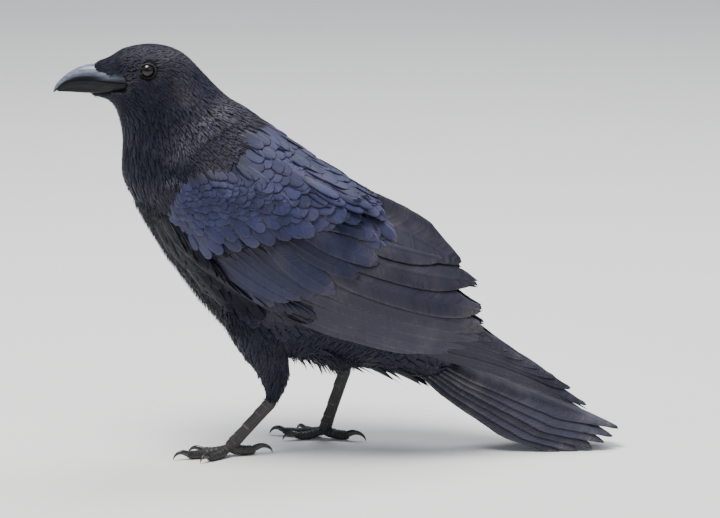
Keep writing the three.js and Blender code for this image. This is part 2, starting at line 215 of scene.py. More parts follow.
def fillFeatherGroup(tree, given, out, look):
    def plus(first, second):
        return calc(tree, "ADD", first, second)

    def less(first, second):
        return calc(tree, "SUBTRACT", first, second)

    def times(first, second):
        return calc(tree, "MULTIPLY", first, second)

    vane = addNode(tree, "UVMap", uv_map="vane").outputs[0]
    across, along = addNode(tree, "SeparateXYZ", {0: vane}).outputs[:2]
    seed, edge, mark = addNode(tree, "SeparateXYZ", {0: stored(tree, "feather", "Vector")}).outputs[:3]
    coords = objectCoords(tree)
    x, _, z = addNode(tree, "SeparateXYZ", {0: coords}).outputs[:3]
    patchy = noise(tree, coords, look["patchScale"], 3.0)

    # barbs slant out from the shaft, a little differently on each feather
    slant = less(along, times(across, look["slant"]))
    barbPlace = addNode(tree, "CombineXYZ", {
        0: times(slant, look["barbDensity"]), 1: times(seed, look["seedStep"]), 2: times(across, look["barbStretch"])})
    barbs = noise(tree, barbPlace.outputs[0], 1.0, 3.0, 0.65)
    shaft = less(1.0, ramp(tree, edge, *look["shaft"]))
    rim = calc(tree, "MAXIMUM", ramp(tree, edge, *look["rim"]), ramp(tree, mark, *look["tip"]))

    # the painted sheen comes in patches, and Fade takes it off the hind neck
    patches = ramp(tree, plus(times(seed, 0.3), patchy), 0.3, 0.9, 0.55, 1.0)
    paintedSheenShare = times(ramp(tree, mark, 0.05, 0.7, 0.35, 1.0), patches)
    behind = less(times(x, 0.72), times(z, 0.69))
    nape = times(ramp(tree, behind, -0.244, -0.284), ramp(tree, z, 0.255, 0.275))
    paintedSheenShare = times(paintedSheenShare, less(1.0, times(nape, given["Fade"])))
    color = blendColor(tree, paintedSheenShare, given["Base"], given["Gloss"])

    # wear: dusky patches, and rims that are pale where the barbs are tattered
    dusky = times(ramp(tree, plus(patchy, times(seed, 0.05)), 0.5, 0.68), given["Wear"])
    color = blendColor(tree, times(dusky, 0.4), color, given["Worn"])
    tattered = ramp(tree, plus(barbs, times(patchy, 0.8)), 0.75, 1.15)
    color = blendColor(tree, times(times(rim, given["Wear"]), tattered), color, given["Worn"])

    # Upper paints light onto the hind neck, mantle and crown: a painted top light in the sheen colour, with browner
    # worn edges there
    topLine = plus(times(x, 0.65), times(z, 0.76))
    upper = times(ramp(tree, x, -0.168, -0.135), ramp(tree, topLine, 0.105, 0.15))
    upper = times(calc(tree, "MAXIMUM", upper, ramp(tree, z, 0.364, 0.38)), given["Upper"])
    paintedTopLight = times(upper, ramp(tree, seed, 0.0, 1.0, 0.2, 0.75))
    color = blendColor(tree, paintedTopLight, color, given["Gloss"], "ADD")
    browner = ramp(tree, plus(patchy, times(mark, 0.25)), 0.5, 0.8, 0.05, 0.5)
    color = blendColor(tree, times(upper, browner), color, given["Worn"], "ADD")

    lines = times(ramp(tree, barbs, 0.3, 0.7, *look["barbShade"]), ramp(tree, seed, 0.0, 1.0, *look["featherShade"]))
    tree.links.new(blendColor(tree, 1.0, color, grey(tree, lines), "MULTIPLY"), out.inputs["Color"])
    tree.links.new(ramp(tree, barbs, 0.25, 0.75, *look["roughness"]), out.inputs["Roughness"])
    tree.links.new(plus(times(times(barbs, given["Barbs"]), 0.6), shaft), out.inputs["Height"])


fillFeatherGroup(featherGroup, groupIn.outputs, groupOut, grainLook)

# the vane's colour, its painted sheen, its worn rim and how strong each effect is, then the shader's own values
plumageLooks = {
    "bodyPlumage": dict(
        base=(0.0024, 0.0023, 0.0029), gloss=(0.0098, 0.0112, 0.0235), worn=(0.05, 0.04, 0.033),
        wear=0.5, barbs=0.8, upper=1.2, specular=0.22, tint=(0.85, 0.9, 1.0),
        sheen=0.05, sheenRoughness=0.4, sheenTint=(0.6, 0.65, 1.0)),
    "wingPlumage": dict(
        base=(0.008, 0.008, 0.0125), gloss=(0.023, 0.027, 0.079), worn=(0.1, 0.084, 0.076),
        wear=0.32, barbs=1.0, fade=1.0, specular=0.42, tint=(0.8, 0.83, 1.0),
        sheen=0.1, sheenRoughness=0.35, sheenTint=(0.62, 0.6, 1.0)),
    "flightPlumage": dict(
        base=(0.011, 0.0102, 0.0125), gloss=(0.024, 0.0225, 0.04), worn=(0.12, 0.1, 0.09),
        wear=0.4, barbs=1.0, specular=0.42, tint=(0.85, 0.88, 1.0),
        sheen=0.08, sheenRoughness=0.35, sheenTint=(0.5, 0.55, 1.0)),
    # a darker copy of the body plumage for the flank feathers: painted shade
    "shadedFlankPlumage": dict(
        base=(0.0022, 0.0022, 0.003), gloss=(0.005, 0.0054, 0.012), worn=(0.024, 0.02, 0.02),
        wear=0.2, barbs=0.8, specular=0.13, tint=(0.8, 0.85, 1.0), sheen=0.02, sheenRoughness=0.4),
    # a darker, less blue copy of the wing plumage for the greater coverts: painted shade
    "shadedLargePlumage": dict(
        base=(0.008, 0.0078, 0.011), gloss=(0.018, 0.0195, 0.05), worn=(0.1, 0.084, 0.076),
        wear=0.32, barbs=1.0, specular=0.36, tint=(0.82, 0.85, 1.0),
        sheen=0.08, sheenRoughness=0.35, sheenTint=(0.55, 0.58, 1.0)),
    # a darker copy for the lower coverts, which lie in the shade under the wing's lower edge: painted shade
    "shadedLowerPlumage": dict(
        base=(0.0045, 0.0045, 0.006), gloss=(0.0105, 0.0115, 0.023), worn=(0.05, 0.042, 0.04),
        wear=0.25, barbs=0.9, specular=0.28, tint=(0.85, 0.88, 1.0), sheen=0.04, sheenRoughness=0.4),
    # the tail's lighter vane and sheen and its heavy pale wear are partly real wear and partly a painted reflection of
    # the sky on the tail's top
    "tailPlumage": dict(
        base=(0.015, 0.0145, 0.0185), gloss=(0.034, 0.034, 0.056), worn=(0.15, 0.13, 0.12),
        wear=0.6, barbs=1.0, specular=0.5, tint=(0.9, 0.92, 1.0),
        sheen=0.1, sheenRoughness=0.35, sheenTint=(0.6, 0.62, 1.0)),
}


def plumageMaterial(name, look):
    material, tree, shader = newMaterial(name, **{
        "Specular IOR Level": look["specular"], "Specular Tint": (*look["tint"], 1), "Sheen Weight": look["sheen"],
        "Sheen Roughness": look["sheenRoughness"], "Sheen Tint": (*look.get("sheenTint", (1, 1, 1)), 1)})
    made = tree.nodes.new("ShaderNodeGroup")
    made.node_tree = featherGroup
    for label in ("Base", "Gloss", "Worn"):
        made.inputs[label].default_value = (*look[label.lower()], 1)
    for label in ("Wear", "Barbs", "Fade", "Upper"):
        made.inputs[label].default_value = look.get(label.lower(), 0.0)
    tree.links.new(made.outputs["Color"], shader.inputs["Base Color"])
    tree.links.new(made.outputs["Roughness"], shader.inputs["Roughness"])
    bumped(tree, shader, made.outputs["Height"], 0.4, 0.3 * mm)
    return material


plumage = {name: plumageMaterial(name, look) for name, look in plumageLooks.items()}
print("plumage", len(plumage))

# camera, floor and light
stageLook = {
    "aim": (0.0199, 0.0, 0.1818),
    "distance": 3.95,
    "elevation": 11.0,
    "frameWidth": 0.677,
    "floorSize": 18.0,
    "floorColor": (0.84, 0.83, 0.81, 1),
    "skyColor": (0.80, 0.87, 1.0, 1),
    "skyStrength": 0.4,
    # name, place, size, watts, colour
    "lamps": [
        ("keyLamp", (-0.75, -0.6, 3.2), 1.9, 178, (1.0, 0.98, 0.95)),
        ("fillLamp", (1.9, -2.2, 1.9), 1.6, 7, (0.86, 0.92, 1.0)),
        ("rimLamp", (0.7, 1.5, 2.7), 1.6, 52, (0.95, 0.97, 1.0)),
    ],
}


def buildStage(look):
    scene = bpy.context.scene
    angle = math.radians(look["elevation"])
    aim = Vector(look["aim"])
    place = aim + Vector((0, -math.cos(angle), math.sin(angle))) * look["distance"]
    bpy.ops.object.camera_add(location=place, rotation=(math.pi / 2 - angle, 0, 0))
    camera = bpy.context.object
    camera.name = "camera"
    camera.data.lens = camera.data.sensor_width * look["distance"] / look["frameWidth"]
    camera.data.clip_end = 60
    scene.camera = camera

    bpy.ops.mesh.primitive_plane_add(size=look["floorSize"], location=(0, 0, 0))
    floor = bpy.context.object
    floor.name = "floor"
    pick(floor)
    bpy.ops.object.mode_set(mode="EDIT")
    bpy.ops.mesh.select_all(action="SELECT")
    bpy.ops.mesh.subdivide(number_cuts=3)
    bpy.ops.object.mode_set(mode="OBJECT")
    material, tree, shader = newMaterial("paleFloor", Roughness=0.75)
    speckle = noise(tree, objectCoords(tree), 3.0, 4.0)
    warm = tuple(c * 1.06 for c in look["floorColor"][:3]) + (1,)
    tree.links.new(blendColor(tree, speckle, look["floorColor"], warm), shader.inputs["Base Color"])
    floor.data.materials.append(material)

    for name, spot, size, watts, color in look["lamps"]:
        bpy.ops.object.light_add(type="AREA", location=spot)
        lamp = bpy.context.object
        lamp.name = name
        lamp.data.shape = "DISK"
        lamp.data.size = size
        lamp.data.energy = watts
        lamp.data.color = color
        lamp.rotation_euler = (Vector((0, 0, 0.2)) - Vector(spot)).to_track_quat("-Z", "Y").to_euler()

    world = bpy.data.worlds.new("softSky")
    scene.world = world
    world.use_nodes = True
    sky = world.node_tree.nodes["Background"]
    sky.inputs[0].default_value = look["skyColor"]
    sky.inputs[1].default_value = look["skyStrength"]
    print("stage ready")
    return floor


floorPiece = buildStage(stageLook)

# the body's own form, from the brow over the nape and breast to the rump:
# back x, back z, belly x, belly z, half width, in mm
bodyStations = [
    (-209, 373, -211, 334.5, 10), (-200, 380.5, -206, 330, 17), (-186, 385, -202.5, 325, 22),
    (-168, 386.6, -200.5, 319, 25.5), (-150, 383, -199, 312, 26.5), (-135.5, 374.5, -197.5, 304, 26.5),
    (-122, 359.5, -197, 296, 28.5), (-107, 344.5, -197.5, 286, 33), (-88, 327.5, -198.5, 270, 41),
    (-62, 308.5, -195, 254, 50), (-27, 281.5, -180, 224.5, 63), (10, 258.5, -147, 172, 70),
    (45, 232, -93, 108, 68), (72, 194, -46, 90, 56), (94, 150, 10, 82, 39), (110, 118, 52, 73, 27),
    (124, 92, 94, 67, 13),
]
bodySquareness = 2.25
lastStation = len(bodyStations) - 1


def bodyPoint(station, turn):  # turn runs round from the back, 0.5 at the belly, the right side first
    values = catmull(bodyStations, np.asarray(station) / lastStation)
    angle = 2 * np.pi * np.asarray(turn)
    rise, spread = (
        np.sign(wave) * np.abs(wave) ** (2 / bodySquareness) for wave in (np.cos(angle), np.sin(angle))
    )
    x = (values[..., 0] + values[..., 2]) / 2 + (values[..., 0] - values[..., 2]) / 2 * rise + shiftX
    z = (values[..., 1] + values[..., 3]) / 2 + (values[..., 1] - values[..., 3]) / 2 * rise
    return np.stack([x, values[..., 4] * spread, z], -1) * mm


# a lookup from a place on the body to its station and turn, which also serves as the skin's unwrap
flowStations, flowTurns = np.meshgrid(
    np.linspace(0, lastStation, 161), np.linspace(0, 1, 120, endpoint=False), indexing="ij")
flowPoints = bodyPoint(flowStations, flowTurns).reshape(-1, 3)
flowWays = bodyPoint(flowStations + 0.05, flowTurns) - bodyPoint(flowStations - 0.05, flowTurns)
flowWays = unit(flowWays).reshape(-1, 3)
flowStations, flowTurns = flowStations.ravel(), flowTurns.ravel()
flowTree = KDTree(len(flowPoints))
for index, point in enumerate(flowPoints):
    flowTree.insert(point, index)
flowTree.balance()


def flowAt(points):  # station, turn and lie of the coat at each place
    found = np.array([flowTree.find(point)[1] for point in points])
    return flowStations[found], flowTurns[found], flowWays[found]


def coatMap(points):  # where a place lies on the unwrapped skin
    station, turn, _ = flowAt(points)
    return np.stack([0.02 + 0.96 * turn, 0.02 + 0.96 * station / lastStation], -1)


# the whole coat's outer form, which the feathers lie along
skinLook = {
    "voxel": 2.4 * mm,
    "smoothing": 10,
    "shoulderLine": ((-106, 330), (-163, 246)),
    "shoulderReach": (14 * mm, 30 * mm),
    "shoulderSmoothing": 60,
    "billCut": -228 * mm,
    "depthBody": 2.8 * mm,
    "depthHead": 0.9 * mm,
    "depthLeg": 1.2 * mm,
}
fleshNodes = ["head", "neck", "trunk", "tail_base", "thigh_left", "thigh_right"]
fleshNodes += [f"wing_{side}_{group}" for side in ("left", "right") for group in ("coverts", "scapulars")]


def mergeDoubles():  # in edit mode
    bpy.ops.mesh.select_all(action="SELECT")
    bpy.ops.mesh.remove_doubles(threshold=0.01 * mm)


def buildEnvelope(look):
    shells = [copyOf(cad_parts[name], "shell_" + name) for name in fleshNodes + ["eye_left", "eye_right"]]
    for name in ("bill_upper", "bill_lower"):
        horn = copyOf(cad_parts[name], "shell_" + name)
        pick(horn)
        bpy.ops.object.mode_set(mode="EDIT")
        mergeDoubles()
        bpy.ops.mesh.select_all(action="SELECT")
        bpy.ops.mesh.bisect(plane_co=(look["billCut"], 0, 0), plane_no=(1, 0, 0), clear_inner=True, use_fill=True)
        bpy.ops.object.mode_set(mode="OBJECT")
        shells.append(horn)
    envelope = joined(shells, "envelope")
    bpy.ops.object.mode_set(mode="EDIT")
    mergeDoubles()
    bpy.ops.object.mode_set(mode="OBJECT")
    applyModifier(envelope, "REMESH", mode="VOXEL", voxel_size=look["voxel"])
    applyModifier(envelope, "SMOOTH", factor=0.5, iterations=look["smoothing"])
    # the neck runs into the shoulders without a step
    start, end = (np.array(place) * mm for place in look["shoulderLine"])
    places = np.array([(v.co.x, v.co.z) for v in envelope.data.vertices])
    along = ((places - start) @ (end - start) / ((end - start) @ (end - start))).clip(0, 1)
    away = np.linalg.norm(places - start - along[:, None] * (end - start), axis=1)
    shoulder = envelope.vertex_groups.new(name="shoulder")
    for number, weight in enumerate(1 - ease(*look["shoulderReach"], away)):
        if weight > 0:
            shoulder.add([number], weight, "REPLACE")
    applyModifier(envelope, "SMOOTH", factor=0.5, iterations=look["shoulderSmoothing"], vertex_group="shoulder")
    envelope.vertex_groups.clear()
    return envelope


envelope = buildEnvelope(skinLook)
envelopePoints = np.array([v.co for v in envelope.data.vertices])
envelope.data.calc_loop_triangles()
envelopeTriangles = np.array([t.vertices[:] for t in envelope.data.loop_triangles])
coatTree = BVHTree.FromPolygons([Vector(p) for p in envelopePoints], envelopeTriangles.tolist())
print("envelope", len(envelopeTriangles))

eyeLook = {
    "x": -177.0 * mm, "side": 18.4 * mm, "z": 363.6 * mm, "radius": 7.2 * mm, "cornea": 0.35 * mm,
    "opening": 6.8 * mm, "lidDepth": 21.4 * mm, "lidThickness": 0.68 * mm, "beads": 22, "beadSize": 0.42 * mm,
    "pupil": 2.9 * mm, "iris": 5.4 * mm,
}


def billStrip(points):  # how far each place lies on the bill's bare side, and the bill's half width there
    x, z = points[:, 0] / mm - shiftX, points[:, 2] / mm
    across = ease(340.5, 343, z) * (1 - ease(358, 361.5, z))
    back = 1 - ease(-197, -184, x + 0.35 * np.maximum(0, 348 - z) + 0.5 * np.maximum(0, z - 355))
    half = np.interp(x, (-219, -202, -187), (10.4, 13.4, 15.6))
    half = half * np.interp(z, (339, 341, 343, 346, 350), (0.5, 0.66, 0.8, 0.9, 1)) * mm
    return across * back, half


def onLegs(points, off):  # off is how far each place lies from the body's own form
    return (points[:, 2] < 128 * mm) & (np.abs(points[:, 1]) < 58 * mm) & (off > 2 * mm)


def buildSkin(look, eye):
    skin = copyOf(envelope, "bodySkin")
    mesh = skin.data
    points = np.array([v.co for v in mesh.vertices])
    normals = np.array([v.normal for v in mesh.vertices])
    station, turn, _ = flowAt(points)
    off = np.linalg.norm(points - bodyPoint(station, turn), axis=1)
    depth = look["depthHead"] + (look["depthBody"] - look["depthHead"]) * ease(4.5, 8.5, station)
    depth = np.where(onLegs(points, off), look["depthLeg"], depth)
    moved = points - normals * depth[:, None]
    # the socket: the face sinks to the rim of the lids
    away = np.hypot(moved[:, 0] - eye["x"], moved[:, 2] - eye["z"])
    sink = 1 - ease(eye["opening"], eye["opening"] * 2.1, away)
    nearEye = (sink > 0) & (np.abs(moved[:, 1]) > 12 * mm)
    side = np.sign(moved[:, 1])
    target = side * np.minimum(np.abs(moved[:, 1]), eye["lidDepth"])
    moved[nearEye, 1] += ((target - moved[:, 1]) * sink)[nearEye]
    # the feathers stop short of the bill's side, down to the corner of the mouth
    bare, half = billStrip(moved)
    target = np.sign(moved[:, 1]) * np.minimum(np.abs(moved[:, 1]), half - 1.4 * mm)
    moved[:, 1] += (target - moved[:, 1]) * bare
    mesh.vertices.foreach_set("co", moved.astype(np.float32).ravel())
    mesh.update()
    smoothShade(skin)
    return skin


skin = buildSkin(skinLook, eyeLook)
print("skin", len(skin.data.polygons))


def meshFromArrays(name, points, quads, triangles, flatFaces):
    corners = np.concatenate([quads.ravel(), triangles.ravel()]).astype(np.int32)
    sizes = np.concatenate([np.full(len(quads), 4), np.full(len(triangles), 3)]).astype(np.int32)
    starts = np.concatenate([[0], np.cumsum(sizes)[:-1]]).astype(np.int32)
    mesh = bpy.data.meshes.new(name)
    mesh.vertices.add(len(points))
    mesh.vertices.foreach_set("co", points.astype(np.float32).ravel())
    mesh.loops.add(len(corners))
    mesh.loops.foreach_set("vertex_index", corners)
    mesh.polygons.add(len(sizes))
    mesh.polygons.foreach_set("loop_start", starts)
    mesh.polygons.foreach_set("use_smooth", ~flatFaces)
    mesh.update(calc_edges=True)
    piece = bpy.data.objects.new(name, mesh)
    bpy.context.scene.collection.objects.link(piece)
    return piece, corners


def paintVanes(piece, corners, across, along, marks, edges, seeds, cornerPlaces):
    mesh = piece.data
    grain = mesh.uv_layers.new(name="vane")
    grain.data.foreach_set("uv", np.stack([across, along], -1)[corners].astype(np.float32).ravel() * 10)
    baked = mesh.uv_layers.new(name="OFBake")
    baked.data.foreach_set("uv", cornerPlaces.astype(np.float32).ravel())
    feather = mesh.attributes.new("feather", "FLOAT_VECTOR", "POINT")
    feather.data.foreach_set("vector", np.stack([seeds, edges, marks], -1).astype(np.float32).ravel())


# many feathers as one mesh of closed, thin, ridged blades: spines and normals are (feathers, marks, 3)
# and halves is (feathers, marks), and the end marks are points
def buildVanes(name, marks, spines, normals, halves, look, lean):
    count, rows = spines.shape[:2]
    columns = look["columns"]
    way = unit(np.gradient(spines, axis=1))
    side = unit(np.cross(normals, way))
    fan = np.linspace(-1, 1, columns)
    lengths = np.linalg.norm(np.diff(spines, axis=1), axis=2).sum(1)
    inner = slice(1, rows - 1)
    wide = halves[:, inner, None, None]
    reach = wide * fan[None, None, :, None]
    lift = (look["ridge"] * (1 - np.abs(fan)) - look["camber"] * fan**2)[None, None, :, None] * wide
    lift = lift + lean[:, None, None, None] * reach
    grid = spines[:, inner, None, :] + side[:, inner, None, :] * reach + normals[:, inner, None, :] * lift
    points = np.concatenate([spines[:, :1], grid.reshape(count, -1, 3), spines[:, -1:]], axis=1)
    perFeather = points.shape[1]

    def at(row, column):
        return 1 + row * columns + column

    # a ridged top and a plain under side, closed at both points
    strips = range(rows - 3)
    top = [(at(r, c), at(r, c + 1), at(r + 1, c + 1), at(r + 1, c)) for r in strips for c in range(columns - 1)]
    under = [(at(r, 0), at(r + 1, 0), at(r + 1, columns - 1), at(r, columns - 1)) for r in strips]
    last = perFeather - 1
    caps = [(0, at(0, c + 1), at(0, c)) for c in range(columns - 1)]
    caps += [(last, at(rows - 3, c), at(rows - 3, c + 1)) for c in range(columns - 1)]
    underCaps = [(0, at(0, 0), at(0, columns - 1)), (last, at(rows - 3, columns - 1), at(rows - 3, 0))]
    step = (np.arange(count) * perFeather)[:, None, None]
    quads = (np.array(top + under)[None] + step).reshape(-1, 4)
    triangles = (np.array(caps + underCaps)[None] + step).reshape(-1, 3)
    flat = np.concatenate([
        np.tile([False] * len(top) + [True] * len(under), count),
        np.tile([False] * len(caps) + [True] * len(underCaps), count),
    ])
    piece, corners = meshFromArrays(name, points.reshape(-1, 3), quads, triangles, flat)

    def perPoint(middle):  # the two end points carry nothing
        return np.concatenate([np.zeros((count, 1)), middle.reshape(count, -1), np.zeros((count, 1))], 1)

    across = np.abs(perPoint(halves[:, inner, None] * fan))
    mark = np.concatenate([[0], np.repeat(marks[1:-1], columns), [1]])
    place = np.concatenate([[0], np.tile(fan, rows - 2), [0]])
    seeds = chance.random(count)
    patch = np.stack([place * 0.5, mark - 0.5], -1) * 0.003  # each feather's own small part of the unwrap
    patches = (coatMap(spines[:, 0])[:, None, :] + patch[None]).reshape(-1, 2)
    paintVanes(piece, corners, across.ravel(), (lengths[:, None] * mark).ravel(), np.tile(mark, count),
               np.tile(np.abs(place), count), np.repeat(seeds, perFeather), patches[corners])
    return piece


# walks each feather's line over the coat, and past cling of its length goes straight on
def layAlong(roots, ways, lengths, marks, cling=2.0, hang=0.0):
    spines = np.zeros((len(roots), len(marks), 3))
    normals = np.zeros_like(spines)
    for i, (root, way, length) in enumerate(zip(roots, ways, lengths)):
        place, normal = coatTree.find_nearest(Vector(root))[:2]
        way = Vector(way)
        before = marks[0]
        for k, mark in enumerate(marks):
            step = (mark - before) * length
            if step > 0:
                ahead = place + way * step
                if mark <= cling:
                    place, hit = coatTree.find_nearest(ahead)[:2]
                    normal = (normal + hit * 1.5).normalized()
                    way = (way - normal * way.dot(normal)).normalized()
                else:
                    place = ahead
                    way = (way + Vector((0, 0, -hang))).normalized()
            else:
                way = (way - normal * way.dot(normal)).normalized()
            spines[i, k] = place
            normals[i, k] = normal
            before = mark
    return spines, normals


# marks along the feather, and half widths there as shares of the widest
vaneShapes = {
    "contour": ([0, 0.1, 0.34, 0.6, 0.82, 0.94, 1], [0, 0.42, 0.86, 1, 0.86, 0.55, 0]),
    "small": ([0, 0.15, 0.5, 0.82, 1], [0, 0.6, 1, 0.72, 0]),
    "hackle": ([0, 0.12, 0.4, 0.66, 0.86, 1], [0, 0.5, 1, 0.8, 0.36, 0]),
    "bristle": ([0, 0.12, 0.45, 0.8, 1], [0, 0.8, 1, 0.6, 0]),
    "covert": ([0, 0.08, 0.3, 0.55, 0.76, 0.9, 0.97, 1], [0, 0.45, 0.86, 1, 0.94, 0.72, 0.42, 0]),
}


def featherTract(name, roots, ways, lengths, halfWidths, look):
    marks, shape = vaneShapes[look["shape"]]
    marks = np.array(marks)
    spines, normals = layAlong(roots, ways, lengths, marks, look.get("cling", 2.0), look.get("hang", 0.0))
    height = look["rootDepth"] + (look["tipHeight"] - look["rootDepth"]) * marks
    wander = 1 + look.get("unevenness", 0.2) * (chance.random(len(roots)) - 0.5)
    spines += normals * (height[None] * wander[:, None])[..., None]
    halves = np.asarray(halfWidths)[:, None] * np.array(shape)[None]
    lean = look["lean"] * (chance.random(len(roots)) - 0.5) * 2 + look.get("tuck", 0.0)
    return buildVanes(name, marks, spines, normals, halves, look, lean)


# where the body's feathers are rooted
def sampleCoat(count):
    a, b, c = (envelopePoints[envelopeTriangles[:, k]] for k in range(3))
    area = np.linalg.norm(np.cross(b - a, c - a), axis=1)
    chosen = chance.choice(len(area), count, p=area / area.sum())
    u, v = chance.random(count), chance.random(count)
    flip = u + v > 1
    u[flip], v[flip] = 1 - u[flip], 1 - v[flip]
    return a[chosen] + (b - a)[chosen] * u[:, None] + (c - a)[chosen] * v[:, None]


neighbours = [(dx, dy, dz) for dx in (-1, 0, 1) for dy in (-1, 0, 1) for dz in (-1, 0, 1)]


def thinOut(points, spacing):  # keeps places that lie at least their own spacing apart
    cell = spacing.max()
    grid, kept = {}, []
    for i, point in enumerate(points):
        a, b, c = np.floor(point / cell).astype(int)
        near = (j for dx, dy, dz in neighbours for j in grid.get((a + dx, b + dy, c + dz), ()))
        if not any((gap := points[j] - point) @ gap < spacing[i] ** 2 for j in near):
            grid.setdefault((a, b, c), []).append(i)
            kept.append(i)
    return np.array(kept, int)


def inside(outline, x, z):
    outline = np.array(outline)
    result = np.zeros(len(x), bool)
    for (x0, z0), (x1, z1) in zip(outline, np.roll(outline, -1, 0)):
        crosses = (z0 > z) != (z1 > z)
        if z1 != z0:
            result ^= crosses & (x < (x1 - x0) * (z - z0) / (z1 - z0) + x0)
    return result


# side-view outlines of the wing's coverts and of the scapulars above them, in mm
scapularOutline = [(-124, 264), (-88, 252), (-46, 246), (-12, 247), (50, 250), (60, 262), (0, 300),
                   (-60, 314), (-84, 306), (-104, 284)]
flightOutline = [(24, 250), (56, 222), (112, 190), (116, 112), (30, 128), (-20, 140), (-20, 240)]
covertOutline = [(-164, 234), (-157, 242), (-144, 250), (-126, 258), (-88, 252), (-46, 243), (-12, 240),
                 (2, 222), (13, 198), (9, 172), (2, 148), (-8, 130), (-34, 134), (-68, 152), (-100, 173),
                 (-128, 198), (-152, 222)]

# feather lengths at the stations along the body, on the back, the sides and the belly, in mm,
# and half widths as shares of the length
coatSizes = {
    "back": [5, 5, 5.5, 6, 7, 9, 12, 15, 19, 24, 28, 32, 36, 38, 40, 42, 42],
    "side": [4, 4.2, 4.5, 5.5, 8, 11, 14, 17, 21, 26, 30, 32, 34, 34, 34, 34, 30],
    "belly": [5, 6, 8, 12, 18, 24, 27, 28, 28, 28, 28, 28, 28, 28, 28, 30, 32],
    "slender": [0.2, 0.19, 0.18, 0.16, 0.14, 0.13, 0.125, 0.125, 0.125, 0.13, 0.15, 0.16, 0.15, 0.15, 0.15,
                0.15, 0.15],
}
stationNumbers = np.arange(lastStation + 1)


def coatLength(station, turn, sizes):
    belly = (1 - np.cos(2 * np.pi * turn)) / 2
    low = ease(0.35, 0.95, belly)
    high = 1 - ease(0.05, 0.6, belly)
    back, side, under = (np.interp(station, stationNumbers, sizes[k]) for k in ("back", "side", "belly"))
    return (side * (1 - low) * (1 - high) + under * low + back * high * (1 - low)) * mm


sampleCount = 150000
bodySamples = sampleCoat(sampleCount)
sampleStation, sampleTurn, sampleWay = flowAt(bodySamples)
sampleOff = np.linalg.norm(bodySamples - bodyPoint(sampleStation, sampleTurn), axis=1)
sampleLength = coatLength(sampleStation, sampleTurn, coatSizes) * (1 - 0.5 * ease(3 * mm, 6 * mm, sampleOff))
sampleX, sampleZ = bodySamples[:, 0] / mm - shiftX, bodySamples[:, 2] / mm
sampleSide = np.abs(bodySamples[:, 1])
bodyHalves = np.interp(sampleStation, stationNumbers, [station[4] for station in bodyStations]) * mm

# the parts of the coat that have feathers of their own
onWing = inside(covertOutline, sampleX, sampleZ) | inside(scapularOutline, sampleX, sampleZ)
onWing &= sampleSide > 0.4 * bodyHalves
onWing |= inside(flightOutline, sampleX, sampleZ) & (sampleSide > 18 * mm)
onMantle = inside(scapularOutline, sampleX, sampleZ)
onMantle |= (sampleStation > 8.4) & (sampleStation < 13.2) & (np.minimum(sampleTurn, 1 - sampleTurn) < 0.14)
onLeg = onLegs(bodySamples, sampleOff)
eyeAway = np.hypot(bodySamples[:, 0] - eyeLook["x"], bodySamples[:, 2] - eyeLook["z"])
onEye = (eyeAway < eyeLook["opening"] * 1.25) & (sampleSide > 10 * mm)
billShare = billStrip(bodySamples)[0]
onBill = (bodySamples[:, 0] < -213 * mm) | (billShare > 0.75) & (sampleSide > 6 * mm)
onRidge = (sampleX > 12) & (sampleX < 58) & (sampleZ > 232)  # the shoulder feathers lie over this
plain = ~(onWing | onMantle | onLeg | onEye | onBill | onRidge)
print("samples", plain.sum(), onLeg.sum(), onWing.sum())


def aroundEye(points, ways):  # the lie of the face feathers parts round the eye
    away = points - np.array([eyeLook["x"], 0, eyeLook["z"]])
    away[:, 1] = 0
    distance = np.linalg.norm(away, axis=1)
    near = 1 - ease(7 * mm, 17 * mm, distance)
    push = unit(away) * (near * 0.9)[:, None]
    return unit(ways + push)


# the stations that each tract covers, how close its feathers stand, and their shape and lie
bodyTracts = {
    "headFeathers": dict(
        stations=(0.0, 4.6), closeness=0.15, least=0.95 * mm, shape="small", columns=3,
        rootDepth=-0.8 * mm, tipHeight=0.3 * mm, ridge=0.14, camber=0.1, lean=0.1),
    "neckFeathers": dict(
        stations=(4.6, 10.4), closeness=0.11, least=1.1 * mm, shape="hackle", columns=3,
        rootDepth=-2.0 * mm, tipHeight=0.5 * mm, ridge=0.16, camber=0.1, lean=0.1),
    "trunkFeathers": dict(
        stations=(10.4, 17.0), closeness=0.15, least=2 * mm, shape="contour", columns=5,
        rootDepth=-2.4 * mm, tipHeight=0.35 * mm, ridge=0.05, camber=0.05, lean=0.04),
}

coatPieces, wingPieces = {}, {}
for tractName, look in bodyTracts.items():
    low, high = look["stations"]
    members = np.flatnonzero(plain & (sampleStation >= low) & (sampleStation < high))
    spacing = np.maximum(sampleLength[members] * look["closeness"], look["least"])
    members = members[thinOut(bodySamples[members], spacing)]
    slender = np.interp(sampleStation[members], stationNumbers, coatSizes["slender"])
    lengths = sampleLength[members] * (0.9 + 0.2 * chance.random(len(members)))
    ways = aroundEye(bodySamples[members], sampleWay[members])
    ways = unit(ways + 0.09 * chance.normal(size=ways.shape))
    coatPieces[tractName] = featherTract(tractName, bodySamples[members], ways, lengths, lengths * slender, look)
    print(tractName, len(members))

# dark feathers under the wing's rows, so that no skin shows between them
underlayLook = dict(
    spacing=4.2 * mm, lengths=(24 * mm, 30 * mm), width=0.24, shape="contour", columns=3,
    rootDepth=-3.2 * mm, tipHeight=-2.0 * mm, ridge=0.04, camber=0.05, lean=0.02, unevenness=0.1)
members = np.flatnonzero(onWing & ~onMantle)
members = members[thinOut(bodySamples[members], np.full(len(members), underlayLook["spacing"]))]
shortest, longest = underlayLook["lengths"]
lengths = shortest + (longest - shortest) * chance.random(len(members))
ways = unit(sampleWay[members] + 0.08 * chance.normal(size=(len(members), 3)))
coatPieces["underlay"] = featherTract(
    "underlay", bodySamples[members], ways, lengths, lengths * underlayLook["width"], underlayLook)
print("underlay", len(members))


